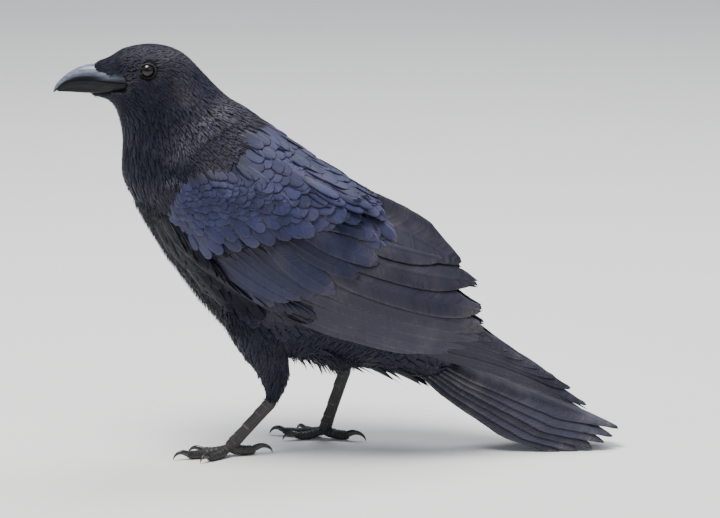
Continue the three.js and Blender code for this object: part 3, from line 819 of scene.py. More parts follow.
# rows of feathers on the wing and shoulder, given by where their tips lie in the side view
def sideRoots(x, z, side):
    roots = []
    for u, v in zip(x, z):
        hit = coatTree.ray_cast(Vector(((u + shiftX) * mm, side * 0.3, v * mm)), Vector((0, -side, 0)), 0.29)[0]
        if hit is None:
            hit = coatTree.find_nearest(Vector(((u + shiftX) * mm, side * 30 * mm, v * mm)))[0]
        roots.append(hit)
    return np.array(roots)


# each row is its tip line, then count, lengths, half widths and downward angles at its two ends
def tipRows(rows, side):
    roots, ways, lengths, halves = [], [], [], []
    for line, count, lengthEnds, halfEnds, angleEnds in rows:
        t = (np.arange(count) + 0.5 * (len(roots) % 2) + 0.15 * chance.normal(size=count)) / (count - 0.5)
        t = np.clip(t, 0, 1)
        tips = catmull(line, t) + chance.normal(size=(count, 2)) * 0.7
        length = np.interp(t, (0, 1), lengthEnds) * (1 + 0.06 * chance.normal(size=count))
        angle = np.radians(np.interp(t, (0, 1), angleEnds) + 3 * chance.normal(size=count))
        reach = np.stack([np.cos(angle), -np.sin(angle)], -1)
        base = tips - reach * length[:, None]
        roots.append(sideRoots(base[:, 0], base[:, 1], side))
        ways.append(np.stack([reach[:, 0], np.zeros(count), reach[:, 1]], -1))
        lengths.append(length * mm)
        halves.append(np.interp(t, (0, 1), halfEnds) * mm * (1 + 0.08 * chance.normal(size=count)))
    return (np.concatenate(part) for part in (roots, ways, lengths, halves))


def rowsBetween(above, below, rows, *rest):  # even rows from one tip line down to another
    steps = np.linspace(0, 1, 7)
    top, bottom = catmull(above, steps), catmull(below, steps)
    return [(top + (bottom - top) * share, *rest) for share in np.linspace(0, 1, rows)]


wingTracts = {
    "lesserCoverts": dict(
        rows=rowsBetween(
            [(-134, 256), (-122, 262), (-104, 268), (-79, 262), (-54, 254)],
            [(-154, 214), (-144, 206), (-120, 205), (-94, 214), (-58, 226)],
            10, 20, (14, 24), (3.6, 5.4), (62, 32)),
        shape="covert", columns=5, rootDepth=-0.9 * mm, tipHeight=1.2 * mm,
        ridge=0.05, camber=0.07, lean=0.04, tuck=0.1),
    "medianCoverts": dict(
        rows=[
            ([(-148, 199), (-124, 205), (-100, 212), (-72, 219), (-46, 227), (-26, 233)],
             11, (26, 32), (5.2, 7.4), (54, 40)),
            ([(-140, 188), (-118, 195), (-96, 202), (-66, 209), (-38, 216), (-15, 219)],
             10, (30, 36), (6.2, 8.6), (52, 38)),
        ],
        shape="covert", columns=7, rootDepth=0.0, tipHeight=2.3 * mm,
        ridge=0.03, camber=0.06, lean=0.03, tuck=0.07),
    "rearScapulars": dict(
        rows=[([(4, 247), (26, 243), (42, 235)], 5, (40, 58), (8.2, 6.6), (27, 26))],
        shape="covert", columns=7, rootDepth=0.8 * mm, tipHeight=3.0 * mm,
        ridge=0.04, camber=0.08, lean=0.03, tuck=0.08, cling=0.6),
    "lowerCoverts": dict(
        rows=[
            ([(-60, 150), (-36, 144), (-12, 137), (14, 133)], 10, (44, 50), (4.8, 5.6), (34, 28)),
            ([(-58, 137), (-46, 133), (-30, 129), (-12, 126)], 8, (42, 48), (4.8, 5.6), (36, 28)),
        ],
        shape="covert", columns=7, rootDepth=-2.4 * mm, tipHeight=1.0 * mm,
        ridge=0.03, camber=0.05, lean=0.02, tuck=0.06),
    "flankFeathers": dict(
        rows=rowsBetween(
            [(-154, 206), (-140, 198), (-124, 196)], [(-122, 160), (-98, 146), (-66, 132)],
            7, 9, (32, 48), (5.2, 7.4), (62, 50)),
        shape="covert", columns=7, rootDepth=0.6 * mm, tipHeight=3.2 * mm,
        ridge=0.03, camber=0.05, lean=0.02, tuck=0.05),
}


def sidedName(label, name):
    return label + name[0].upper() + name[1:]


for side, label in ((-1, "left"), (1, "right")):
    for tractName, look in wingTracts.items():
        pieceName = sidedName(label, tractName)
        shaped = dict(look, tuck=look["tuck"] * side)
        wingPieces[pieceName] = featherTract(pieceName, *tipRows(look["rows"], side), shaped)

# each foot's ankle and the ball that its toes spread from, in mm
legLook = [
    {"name": "left", "side": -1, "ankle": (-58, -36, 53), "ball": (-97, -36, 9.5)},
    {"name": "right", "side": 1, "ankle": (11, 36, 69), "ball": (-9, 36, 9.5)},
]
footYaw = math.radians(18)


def placeOf(x, y, z):
    return np.array([x + shiftX, y, z]) * mm


# scattered tracts: half width and spacing as shares of the length, then shape and lie
looseTracts = {
    "scapulars": dict(
        width=0.27, spacing=0.205, jitter=0.05, shape="covert", columns=7,
        rootDepth=-1.8 * mm, tipHeight=1.2 * mm, ridge=0.02, camber=0.05, lean=0.03, cling=0.62),
    "marginalCoverts": dict(
        width=0.21, spacing=0.18, jitter=0.08, shape="covert", columns=5,
        rootDepth=-1.6 * mm, tipHeight=0.9 * mm, ridge=0.05, camber=0.07, lean=0.05),
    "thighFeathers": dict(
        width=0.13, spacing=0.13, shape="hackle", columns=3,
        rootDepth=-1.2 * mm, tipHeight=0.7 * mm, ridge=0.1, camber=0.14, lean=0.1, cling=0.5),
    "nasalBristles": dict(
        width=0.032, spacing=0.055, least=0.8 * mm, shape="bristle", columns=3,
        rootDepth=-0.3 * mm, tipHeight=0.9 * mm, ridge=0.3, camber=0.1, lean=0.3),
    "chinBristles": dict(
        width=0.035, spacing=0.1, least=1.0 * mm, shape="bristle", columns=3,
        rootDepth=-0.3 * mm, tipHeight=0.8 * mm, ridge=0.3, camber=0.1, lean=0.3, cling=0.7),
    "bellyTufts": dict(
        width=0.045, spacing=0.1, jitter=0.3, shape="hackle", columns=3,
        rootDepth=-1.5 * mm, tipHeight=1.2 * mm, ridge=0.16, camber=0.1, lean=0.3, cling=0.35, hang=0.4),
}


def scatterTract(name, mask, lengthOf, wayOf):  # lengthOf gives mm
    look = looseTracts[name]
    members = np.flatnonzero(mask)
    lengths = lengthOf(bodySamples[members]) * mm
    kept = thinOut(bodySamples[members], np.maximum(lengths * look["spacing"], look.get("least", 1.2 * mm)))
    members, lengths = members[kept], lengths[kept]
    jitter = look.get("jitter", 0.12) * chance.normal(size=(len(members), 3))
    ways = unit(wayOf(bodySamples[members]) + jitter)
    lengths = lengths * (0.85 + 0.3 * chance.random(len(members)))
    print(name, len(members))
    return featherTract(name, bodySamples[members], ways, lengths, lengths * look["width"], look)


def towardsAnkle(points):
    aims = np.array([0.6 * placeOf(*leg["ankle"]) + 0.4 * placeOf(*leg["ball"]) for leg in legLook])
    return unit(aims[(points[:, 1] > 0).astype(int)] - points)


def alongMantle(points):
    return unit(flowAt(points)[2] * (1, 0.35, 1) + (0.16, 0, -0.1))


def scapularLength(points):  # shorter at the rear of the far side, where the wing falls away
    x = points[:, 0] / mm - shiftX
    rear = ease(-30, -8, x) * ease(10, 20, points[:, 1] / mm)
    return np.interp(x, (-124, -84, -30, 30), (24, 32, 42, 48)) * (1 - 0.42 * rear)


pastRidge = (sampleX > 12) & (sampleSide < 26 * mm)  # rooted here, they would stand off the rump
wingPieces["scapulars"] = scatterTract("scapulars", onMantle & ~pastRidge, scapularLength, alongMantle)


def roundWrist(points):  # the small coverts turn down over the bend of the wing
    angle = np.radians(np.interp(points[:, 0] / mm - shiftX, (-166, -138), (72, 46)))
    return np.stack([np.cos(angle), 0 * angle, -np.sin(angle)], -1)


def marginalLength(points):
    return np.interp(points[:, 0] / mm - shiftX, (-166, -138), (11, 17))


wrist = inside(covertOutline, sampleX, sampleZ) & (sampleX < -136) & (sampleZ < 246) & onWing
wingPieces["marginalCoverts"] = scatterTract("marginalCoverts", wrist, marginalLength, roundWrist)


def thighLength(points):
    return 11 + 7 * ease(60, 110, points[:, 2] / mm)


def nasalLength(points):
    return 9 + 13 * ease(-232, -206, points[:, 0] / mm)


def chinLength(points):
    return np.full(len(points), 10.0)


def tuftLength(points):  # longest just behind the legs
    return 15 + 24 * np.exp(-((points[:, 0] / mm - shiftX + 26) / 15) ** 2)


def forwards(drop):
    return lambda points: unit(np.tile((-1.0, 0.0, -drop), (len(points), 1)))


def hanging(points):
    return unit(flowAt(points)[2] + (0, 0, -0.25))


coatPieces["thighFeathers"] = scatterTract("thighFeathers", onLeg, thighLength, towardsAnkle)
bareSide = (billShare > 0.3) & (sampleSide > 6 * mm)
nasal = (sampleX < -198) & (bodySamples[:, 2] > 357 * mm) & ~onEye & ~bareSide
coatPieces["nasalBristles"] = scatterTract("nasalBristles", nasal, nasalLength, forwards(0.12))
chin = (sampleX < -190) & (bodySamples[:, 2] < 344 * mm) & ~bareSide
coatPieces["chinBristles"] = scatterTract("chinBristles", chin, chinLength, forwards(0.35))
underBelly = (sampleStation > 9.3) & (sampleStation < 14) & (np.abs(sampleTurn - 0.5) < 0.13) & ~onLeg
coatPieces["bellyTufts"] = scatterTract("bellyTufts", underBelly, tuftLength, hanging)

# tip x, tip z and length of each pair, in mm
ventSpikes = [(91, 55.5, 46), (84, 61, 44), (66, 63, 42), (58, 69, 40), (41, 75.6, 38), (30, 77, 36)]
ventLook = dict(shape="hackle", columns=3, rootDepth=-1 * mm, tipHeight=0.6 * mm, ridge=0.1, camber=0.1,
                lean=0.1, cling=0.05, hang=0.12)


def buildVentSpikes():
    roots, ways, lengths = [], [], []
    for number, (x, z, length) in enumerate(ventSpikes):
        for side in (-1, 1):
            across = side * (9 + 9 * (number % 2))
            way = unit(np.array([0.9, -0.05 * side, -0.42 - 0.05 * (number % 2)]))
            roots.append(placeOf(x, across, z + 4) - way * length * mm)
            ways.append(way)
            lengths.append(length * mm)
    lengths = np.array(lengths)
    return featherTract("ventSpikes", np.array(roots), np.array(ways), lengths, lengths * 0.13, ventLook)


coatPieces["ventSpikes"] = buildVentSpikes()


# horn and feet are rings extruded along a line
def sweepRings(name, rings):
    pick(floorPiece)
    bpy.ops.object.select_all(action="DESELECT")
    bpy.ops.mesh.primitive_circle_add(vertices=len(rings[0]), radius=mm, fill_type="NGON")
    piece = bpy.context.object
    piece.name = name
    bpy.ops.object.mode_set(mode="EDIT")
    for number, ring in enumerate(rings):
        if number:
            bpy.ops.mesh.extrude_region_move()
        shell = bmesh.from_edit_mesh(piece.data)
        for vertex, place in zip([v for v in shell.verts if v.select], ring):
            vertex.co = place
        bmesh.update_edit_mesh(piece.data)
    bpy.ops.mesh.select_all(action="SELECT")
    bpy.ops.mesh.normals_make_consistent(inside=False)
    bpy.ops.object.mode_set(mode="OBJECT")
    return piece


# rings at t from 0 to 1 along centres (x, y, z, half width, half height) in mm,
# where section gives (sideways, up) pairs
def lineRings(stations, across, section, t, swell=None):
    line = catmull(stations, t)
    ahead, back = catmull(stations, np.clip(t + 0.01, 0, 1)), catmull(stations, np.clip(t - 0.01, 0, 1))
    along = unit((ahead - back)[:, :3])
    across = np.array(across, float)
    side = unit(across - along * (along @ across)[:, None])
    up = unit(np.cross(side, along))
    rings = []
    for k in range(len(t)):
        shape = np.array([swell(t[k], s, u) if swell else (s, u) for s, u in section])
        ring = line[k, :3] + side[k] * (shape[:, :1] * line[k, 3]) + up[k] * (shape[:, 1:] * line[k, 4])
        rings.append((ring + (shiftX, 0, 0)) * mm)
    return rings


def roundSection(sides):
    return [(math.sin(a), math.cos(a)) for a in (2 * math.pi * k / sides for k in range(sides))]


# x, z along the top, x, z along the bottom and half width, in mm
upperBillStations = [
    (-262, 341, -261.2, 340.4, 0.6), (-259.5, 347.2, -258, 342.7, 1.8), (-254.5, 353, -253.5, 346.8, 3.2),
    (-246, 359.6, -246.5, 350.4, 5.2), (-234, 365.2, -235, 352.2, 7.4), (-219, 367.4, -221, 352.4, 10.4),
    (-202, 367, -205, 351.6, 13.4), (-187, 364, -189, 350, 15.6), (-179, 361, -180, 349, 15),
]
lowerBillStations = [
    (-258, 342.6, -257.6, 341.2, 0.8), (-252.6, 347.2, -252.4, 341, 2.5), (-244, 351.2, -243.4, 340.6, 4.5),
    (-232, 352, -232, 340, 6.6), (-218, 351.8, -218, 339.6, 9.3), (-203, 350.4, -203, 339.6, 12.3),
    (-188, 350, -188, 338.5, 15), (-180, 349, -180, 339, 14),
]


def billRings(stations, section, count):
    rings = []
    for x0, z0, x1, z1, half in catmull(stations, np.linspace(0, 1, count) ** 1.15):
        x, z, halfX, halfZ = (x0 + x1) / 2, (z0 + z1) / 2, (x0 - x1) / 2, (z0 - z1) / 2
        rings.append([Vector((x + halfX * rise + shiftX, half * spread, z + halfZ * rise)) * mm
                      for rise, spread in section])
    return rings


def archSection(height, squareness):
    angles = [math.pi * k / 14 for k in range(15)]
    return [(height(a), -math.copysign(abs(math.cos(a)) ** squareness, math.cos(a))) for a in angles]


# the upper half has a faint keel along its ridge
upperSection = archSection(lambda a: 2 * math.sin(a) ** 0.92 - 1 + 0.05 * (1 - abs(math.cos(a))) ** 6, 0.82)
upperSection += [(-0.86, 0.72), (-0.7, 0.3), (-0.66, 0), (-0.7, -0.3), (-0.86, -0.72)]
lowerSection = archSection(lambda a: 1 - 2 * math.sin(a) ** 0.85, 0.55)
lowerSection += [(0.9, 0.6), (0.84, 0), (0.9, -0.6)]


def buildBill():
    upper = sweepRings("billUpper", billRings(upperBillStations, upperSection, 34))
    lower = sweepRings("billLower", billRings(lowerBillStations, lowerSection, 28))
    for piece, section, share in ((upper, upperSection, 1.0), (lower, lowerSection, 0.07)):
        # pale paints a highlight into the horn: lighter towards the top of the upper half, and at its rear lighter
        # over most of the side, lifting the shade under the bristles; the lower half takes only a trace
        rise = np.array([section[v.index % len(section)][0] for v in piece.data.vertices])
        behind = ease(-232, -208, np.array([v.co.x / mm for v in piece.data.vertices]))
        pale = piece.data.attributes.new("pale", "FLOAT", "POINT")
        front = ease(-0.6, 0.22, rise) * 0.85 + 0.15 * ease(0.4, 1, rise)
        rear = ease(-0.67, -0.42, rise) * 0.78 + 0.15 * np.exp(-(((rise + 0.1) / 0.3) ** 2))
        pale.data.foreach_set("value", ((front + (rear - front) * behind) * share).clip(0, 1).astype(np.float32))
        smoothShade(piece, 38)
    return upper, lower


def buildEye(side, look):
    pick(floorPiece)
    bpy.ops.mesh.primitive_uv_sphere_add(
        segments=40, ring_count=24, radius=look["radius"],
        location=(look["x"], side * look["side"], look["z"]), rotation=(math.pi / 2, 0, 0))
    eye = bpy.context.object
    eye.name = "eyeLeft" if side < 0 else "eyeRight"
    bpy.ops.object.transform_apply(location=True, rotation=True, scale=True)
    for vertex in eye.data.vertices:  # the cornea stands a little proud of the ball
        out = (vertex.co.y - side * look["side"]) / (side * look["radius"])
        if out > 0.55:
            vertex.co.y += side * look["cornea"] * (out - 0.55) / 0.45
    smoothShade(eye)
    return eye


def buildLids(side, look):
    pick(floorPiece)
    bpy.ops.mesh.primitive_torus_add(
        major_radius=look["opening"] + 0.4 * mm, minor_radius=look["lidThickness"], major_segments=132,
        minor_segments=12, location=(look["x"], side * (look["lidDepth"] + 0.5 * mm), look["z"]),
        rotation=(math.pi / 2, 0, 0))
    lids = bpy.context.object
    lids.name = "lidsLeft" if side < 0 else "lidsRight"
    bpy.ops.object.transform_apply(location=True, rotation=True, scale=True)
    beads = []
    for vertex in lids.data.vertices:  # beaded outside, a little wider than high, and drawn to a corner in front
        dx, dz = vertex.co.x - look["x"], vertex.co.z - look["z"]
        angle, radius = math.atan2(dz, dx), math.hypot(dx, dz)
        outer = radius - look["opening"] > 0.2 * mm
        beads.append(max(0.0, math.sin(angle * look["beads"] + math.sin(angle * 3))) * (1 if outer else 0.2))
        bead = look["beadSize"] * beads[-1]
        widen = 1.03 + 0.04 * (math.cos(angle) < -0.9)
        squeeze = 1 - 0.07 * abs(math.sin(angle))
        vertex.co.x = look["x"] + math.cos(angle) * (radius + bead) * widen
        vertex.co.z = look["z"] + math.sin(angle) * (radius + bead) * squeeze
        vertex.co.y += side * (bead * 0.8 + 0.4 * mm * math.sin(angle))
    beaded = lids.data.attributes.new("bead", "FLOAT", "POINT")
    beaded.data.foreach_set("value", np.array(beads, np.float32))
    smoothShade(lids)
    return lids


toeLook = [
    {"name": "middle", "heading": 0, "length": 42, "half": 4.1, "pads": 3, "claw": 15, "scutes": 15},
    {"name": "inner", "heading": -30, "length": 28, "half": 3.9, "pads": 2, "claw": 14, "scutes": 10},
    {"name": "outer", "heading": 30, "length": 30, "half": 3.8, "pads": 3, "claw": 12, "scutes": 11},
    {"name": "hind", "heading": 180, "length": 23, "half": 4.6, "pads": 1, "claw": 19, "scutes": 8},
]


def scuteSteps(scutes):  # two rings at each plate's edge
    steps = [0.0]
    for k in range(scutes):
        low, high = k / scutes, (k + 1) / scutes
        steps += [low + share * (high - low) for share in (0.12, 0.5, 0.86, 0.98)]
    return np.array(steps + [1.0])


def plateRise(t, scutes):
    share = (t * scutes) % 1.0
    return 0.04 + 0.13 * share if share > 0.1 else 0.0


def markPlates(piece, sides, steps, scutes, front):  # how far through its plate each point lies, for the pale rims
    values = []
    for t in steps:
        share = (t * scutes) % 1.0
        for k in range(sides):
            onPad = abs(k / sides - 0.5) < 0.12
            onPlates = k / sides < front or k / sides > 1 - front
            values.append(share if onPlates else -0.5 if onPad else 0.3)
    plate = piece.data.attributes.new("plate", "FLOAT", "POINT")
    plate.data.foreach_set("value", np.array(values[: len(piece.data.vertices)], np.float32))


# places along the shank from ankle to ball, with half width and half height, in mm
shankStations = [(-0.06, 2.8, 3.4), (0.04, 4.2, 5.6), (0.22, 3.8, 5.5), (0.7, 3.7, 5.3), (0.93, 4.7, 5.7)]
shankScutes, ringSides = 9, 14

# places along a claw past the toe's end as shares of its length, then height, half width and half height
# as shares of the toe's half width
clawStations = [(0.06, 1.4, 0.55, 0.7), (0.32, 1.74, 0.44, 0.58), (0.6, 1.64, 0.32, 0.42), (0.82, 1.1, 0.2, 0.27),
                (0.92, 0.5, 0.1, 0.14)]


def buildFoot(leg):
    section = roundSection(ringSides)
    ankle, ball = np.array(leg["ankle"], float), np.array(leg["ball"], float)
    along = ball - ankle
    shank = [(*(ankle + along * share), wide, tall) for share, wide, tall in shankStations]
    shank.append((*(ankle + along * 1.05 - (0, 0, 1.5)), 4.4, 4.8))
    steps = scuteSteps(shankScutes)

    def shankSwell(t, s, u):
        front = ease(-0.5, -0.1, u)
        grow = 1 + front * plateRise(t, shankScutes)
        return s * grow * (0.9 + 0.08 * front), u * grow

    legName = leg["name"].title()
    tarsus = sweepRings("tarsus" + legName, lineRings(shank, (0, 1, 0), section, steps, shankSwell))
    markPlates(tarsus, ringSides, steps, shankScutes, 0.3)
    pieces = {f"tarsus_{leg['name']}": tarsus}
    for toe in toeLook:
        heading = math.pi - leg["side"] * (footYaw + math.radians(toe["heading"]))
        ahead = np.array([math.cos(heading), math.sin(heading)])
        across = (math.sin(heading), -math.cos(heading), 0)
        length, half, claw, count = toe["length"], toe["half"], toe["claw"], toe["scutes"]
        toeName = legName + toe["name"].title()

        def at(distance, height, width, tall):
            return (*(ball[:2] + ahead * distance), height, width, tall)

        def toeSwell(t, s, u):
            if u > -0.25:
                grow = 1 + plateRise(t, count) * 1.1
                return s * grow, u * grow
            pad = 1 + 0.13 * math.cos(2 * math.pi * (toe["pads"] * t - 0.15))
            return s * (1 + 0.5 * (pad - 1)), u * pad

        toeLine = [
            at(0.5, 8.3, half, half * 0.95), at(length * 0.22, 6.2, half, half * 0.95),
            at(length * 0.6, half * 0.94, half * 0.94, half), at(length * 0.88, half * 0.92, half * 0.9, half * 0.95),
            at(length, half * 1.12, half * 0.72, half * 0.7),
        ]
        steps = scuteSteps(count)
        piece = sweepRings("toe" + toeName, lineRings(toeLine, across, section, steps, toeSwell))
        markPlates(piece, ringSides, steps, count, 0.29)
        pieces[f"toe_{leg['name']}_{toe['name']}"] = piece
        clawLine = [at(length - 3.0, half * 1.05, half * 0.6, half * 0.66)]
        clawLine += [at(length + claw * share, *(half * size for size in sizes)) for share, *sizes in clawStations]
        clawLine.append(at(length + claw * 0.94, 0.3, 0.1, 0.12))
        clawRings = lineRings(clawLine, across, roundSection(12), np.linspace(0, 1, 16))
        piece = sweepRings("claw" + toeName, clawRings)
        pieces[f"claw_{leg['name']}_{toe['name']}"] = piece
    for piece in pieces.values():
        for vertex in piece.data.vertices:
            vertex.co.z = max(vertex.co.z, 0.0)  # nothing reaches below the floor
        smoothShade(piece, 50)
    return pieces


# the horn's pale colour is a painted highlight, laid along the top of the upper half and on its rear side
hornLook = {
    "dark": (0.005, 0.005, 0.006, 1), "pale": (0.165, 0.19, 0.25, 1), "stretch": (60, 400, 500),
    "lines": (0.75, 1.2), "specular": (0.12, 0.42), "roughness": (0.24, 0.42),
}
clawLook = {"dark": (0.008, 0.008, 0.009, 1), "pale": (0.03, 0.026, 0.025, 1), "roughness": (0.2, 0.38)}
footLook = {
    "dark": (0.008, 0.0075, 0.008, 1), "pale": (0.04, 0.036, 0.036, 1), "pad": (0.05, 0.033, 0.026, 1),
    "rim": (0.13, 0.12, 0.115, 1), "roughness": (0.45, 0.7),
}
eyeFinish = {
    "pupil": (0.002, 0.002, 0.003, 1), "iris": ((0.008, 0.006, 0.006, 1), (0.02, 0.013, 0.011, 1)),
    "outside": (0.006, 0.006, 0.007, 1), "roughness": (0.12, 0.2),
}
lidLook = {"dark": (0.005, 0.005, 0.006, 1), "bead": (0.085, 0.085, 0.095, 1), "roughness": (0.35, 0.6)}


def makeHorn(look):
    material, tree, shader = newMaterial("billHorn", **{"Coat Weight": 0.08, "Coat Roughness": 0.2})
    stretched = addNode(tree, "Mapping", {"Vector": objectCoords(tree), "Scale": look["stretch"]}).outputs[0]
    # pale carries the painted highlight; it also sets how strongly the horn reflects
    grain, pale = noise(tree, stretched, 1.0, 4.0), stored(tree, "pale")
    color = blendColor(tree, pale, look["dark"], look["pale"])
    lines = ramp(tree, grain, 0.35, 0.7, *look["lines"])
    tree.links.new(blendColor(tree, 1.0, color, grey(tree, lines), "MULTIPLY"), shader.inputs["Base Color"])
    tree.links.new(ramp(tree, pale, 0.05, 0.6, *look["specular"]), shader.inputs["Specular IOR Level"])
    tree.links.new(ramp(tree, grain, 0.3, 0.75, *look["roughness"]), shader.inputs["Roughness"])
    bumped(tree, shader, grain, 0.15, 0.2 * mm)
    return material


def makeClaws(look):
    material, tree, shader = newMaterial("clawHorn", **{"Coat Weight": 0.4, "Coat Roughness": 0.15})
    grain = noise(tree, objectCoords(tree), 220.0, 3.0)
    tree.links.new(blendColor(tree, grain, look["dark"], look["pale"]), shader.inputs["Base Color"])
    tree.links.new(ramp(tree, grain, 0.3, 0.7, *look["roughness"]), shader.inputs["Roughness"])
    return material


def makeFootSkin(look):
    material, tree, shader = newMaterial("footSkin")
    coords = objectCoords(tree)
    cells = addNode(tree, "TexVoronoi", {"Vector": coords, "Scale": 900.0}, feature="DISTANCE_TO_EDGE").outputs[0]
    mottle, plate = noise(tree, coords, 160.0, 4.0), stored(tree, "plate")
    rim = calc(tree, "MULTIPLY", ramp(tree, plate, 0.84, 0.98), ramp(tree, mottle, 0.4, 0.62, 0.15, 0.8))
    color = blendColor(tree, mottle, look["dark"], look["pale"])
    color = blendColor(tree, ramp(tree, plate, 0.0, -0.4), color, look["pad"])
    tree.links.new(blendColor(tree, rim, color, look["rim"]), shader.inputs["Base Color"])
    tree.links.new(ramp(tree, mottle, 0.3, 0.7, *look["roughness"]), shader.inputs["Roughness"])
    bumped(tree, shader, cells, 0.5, 0.3 * mm)
    return material


def makeEyeGloss(look, eye):
    material, tree, shader = newMaterial(
        "eyeGloss", **{"Specular IOR Level": 0.15, "Coat Weight": 0.7, "Coat Roughness": 0.02, "Coat IOR": 1.45})
    centred = {"Vector": objectCoords(tree), "Location": (-eye["x"], 0, -eye["z"])}
    place = addNode(tree, "Mapping", centred).outputs[0]
    parts = addNode(tree, "SeparateXYZ", {0: place}).outputs
    squares = [calc(tree, "POWER", parts[axis], 2.0) for axis in (0, 2)]
    radius = calc(tree, "SQRT", calc(tree, "ADD", *squares))
    grain = noise(tree, place, 900.0, 3.0)
    iris = blendColor(tree, grain, *look["iris"])
    color = blendColor(tree, ramp(tree, radius, eye["pupil"], eye["pupil"] + 0.3 * mm), look["pupil"], iris)
    color = blendColor(tree, ramp(tree, radius, eye["iris"], eye["iris"] + 0.9 * mm), color, look["outside"])
    tree.links.new(color, shader.inputs["Base Color"])
    tree.links.new(ramp(tree, grain, 0.3, 0.7, *look["roughness"]), shader.inputs["Roughness"])
    return material


def makeLidSkin(look):
    material, tree, shader = newMaterial("lidSkin")
    mottle = noise(tree, objectCoords(tree), 700.0, 3.0)
    bead = calc(tree, "MULTIPLY", ramp(tree, stored(tree, "bead"), 0.3, 1.0), ramp(tree, mottle, 0.35, 0.6))
    tree.links.new(blendColor(tree, bead, look["dark"], look["bead"]), shader.inputs["Base Color"])
    tree.links.new(ramp(tree, mottle, 0.3, 0.7, *look["roughness"]), shader.inputs["Roughness"])
    return material


hornMaterial, clawMaterial, footMaterial = makeHorn(hornLook), makeClaws(clawLook), makeFootSkin(footLook)
eyeMaterial, lidMaterial = makeEyeGloss(eyeFinish, eyeLook), makeLidSkin(lidLook)
for piece, node in zip(buildBill(), ("bill_upper", "bill_lower")):
    finishPiece(piece, hornMaterial, [node])
for side, label in ((-1, "left"), (1, "right")):
    finishPiece(buildEye(side, eyeLook), eyeMaterial, [f"eye_{label}"])
    finishPiece(buildLids(side, eyeLook), lidMaterial)
for leg in legLook:
    for node, piece in buildFoot(leg).items():
        claw = node.startswith("claw")
        finishPiece(piece, clawMaterial if claw else footMaterial, [node])
print("horn, eyes and feet")

skinMaterial, skinTree, skinShader = newMaterial("darkSkin", **{"Roughness": 0.7, "Specular IOR Level": 0.2})
skinMottle = noise(skinTree, objectCoords(skinTree), 300.0)
skinColor = blendColor(skinTree, skinMottle, (0.004, 0.004, 0.006, 1), (0.008, 0.008, 0.011, 1))
skinTree.links.new(skinColor, skinShader.inputs["Base Color"])
finishPiece(skin, skinMaterial, fleshNodes)
for piece in coatPieces.values():
    finishPiece(piece, plumage["bodyPlumage"])


# large feathers as one mesh: each blade has its top and under sheets, of shape (rows, columns, 3),
# and its half width at each row
def gridBlades(name, blades, look):
    rows, columns = look["rows"], look["columns"]
    index = np.arange(rows * columns).reshape(rows, columns)
    below = index.copy()
    innerCount = (rows - 2) * (columns - 2)
    below[1:-1, 1:-1] = rows * columns + np.arange(innerCount).reshape(rows - 2, columns - 2)
    perBlade = rows * columns + innerCount

    def quadsOf(grid):
        return np.stack([grid[:-1, :-1], grid[:-1, 1:], grid[1:, 1:], grid[1:, :-1]], -1).reshape(-1, 4)

    def perPoint(values):  # the top sheet's points, then the under sheet's inner ones
        return np.concatenate([values.reshape(rows * columns, -1), values[1:-1, 1:-1].reshape(innerCount, -1)])

    top, under = quadsOf(index), quadsOf(below)[:, ::-1]
    single = np.concatenate([top, under])
    mark, fan = look["marks"], look["fan"]
    markGrid, edgeGrid = np.broadcast_arrays(mark[:, None], np.abs(fan)[None])
    points, quads, across, along, seeds, patches = ([] for _ in range(6))
    for number, blade in enumerate(blades):
        faces = single[:, ::-1] if blade["turned"] else single
        quads.append(faces + number * perBlade)
        points.append(np.concatenate([
            blade["top"].reshape(-1, 3), blade["under"][1:-1, 1:-1].reshape(-1, 3)]))
        across.append(perPoint(np.abs(blade["halves"][:, None] * blade["offsets"][None])))
        along.append(perPoint(blade["length"] * markGrid))
        seeds.append(np.full(perBlade, chance.random()))
        # each blade has a column of the unwrap, its top in the left half and its under side in the right
        u = (number + 0.25 + 0.22 * fan) / len(blades)
        cells = perPoint(np.stack(np.broadcast_arrays(u[None], (0.02 + 0.96 * mark)[:, None]), -1))
        shift = np.repeat([0.0, 0.5 / len(blades)], len(top))[:, None, None]
        patches.append(cells[faces] + shift * (1, 0))
    flat = np.tile([False] * len(top) + [True] * len(under), len(blades))
    piece, corners = meshFromArrays(
        name, np.concatenate(points), np.concatenate(quads), np.zeros((0, 3), int), flat)
    marks, edges = (np.tile(perPoint(grid).ravel(), len(blades)) for grid in (markGrid, edgeGrid))
    paintVanes(piece, corners, np.concatenate(across).ravel(), np.concatenate(along).ravel(), marks, edges,
               np.concatenate(seeds), np.concatenate(patches))
    return piece


bladeFan = np.array([-1, -0.86, -0.64, -0.38, -0.1, 0, 0.1, 0.38, 0.64, 0.86, 1.0])


def bladeLook(**changes):
    look = {
        "rows": 22, "fan": bladeFan, "crowd": 0.8, "blunt": 0.72, "tipWidth": 0.42, "roundness": 0.5,
        "fray": 0.012, "ragged": 0.02, "narrow": 0.75, "shaft": 0.35, "cup": 0.06, "tilt": -0.05,
        "thickness": 0.5, "rootWidth": 0.6, "dive": 2.0,
    }
    look.update(changes)
    look["columns"] = len(look["fan"])
    look["marks"] = (np.arange(look["rows"]) / (look["rows"] - 1)) ** look["crowd"]
    return look


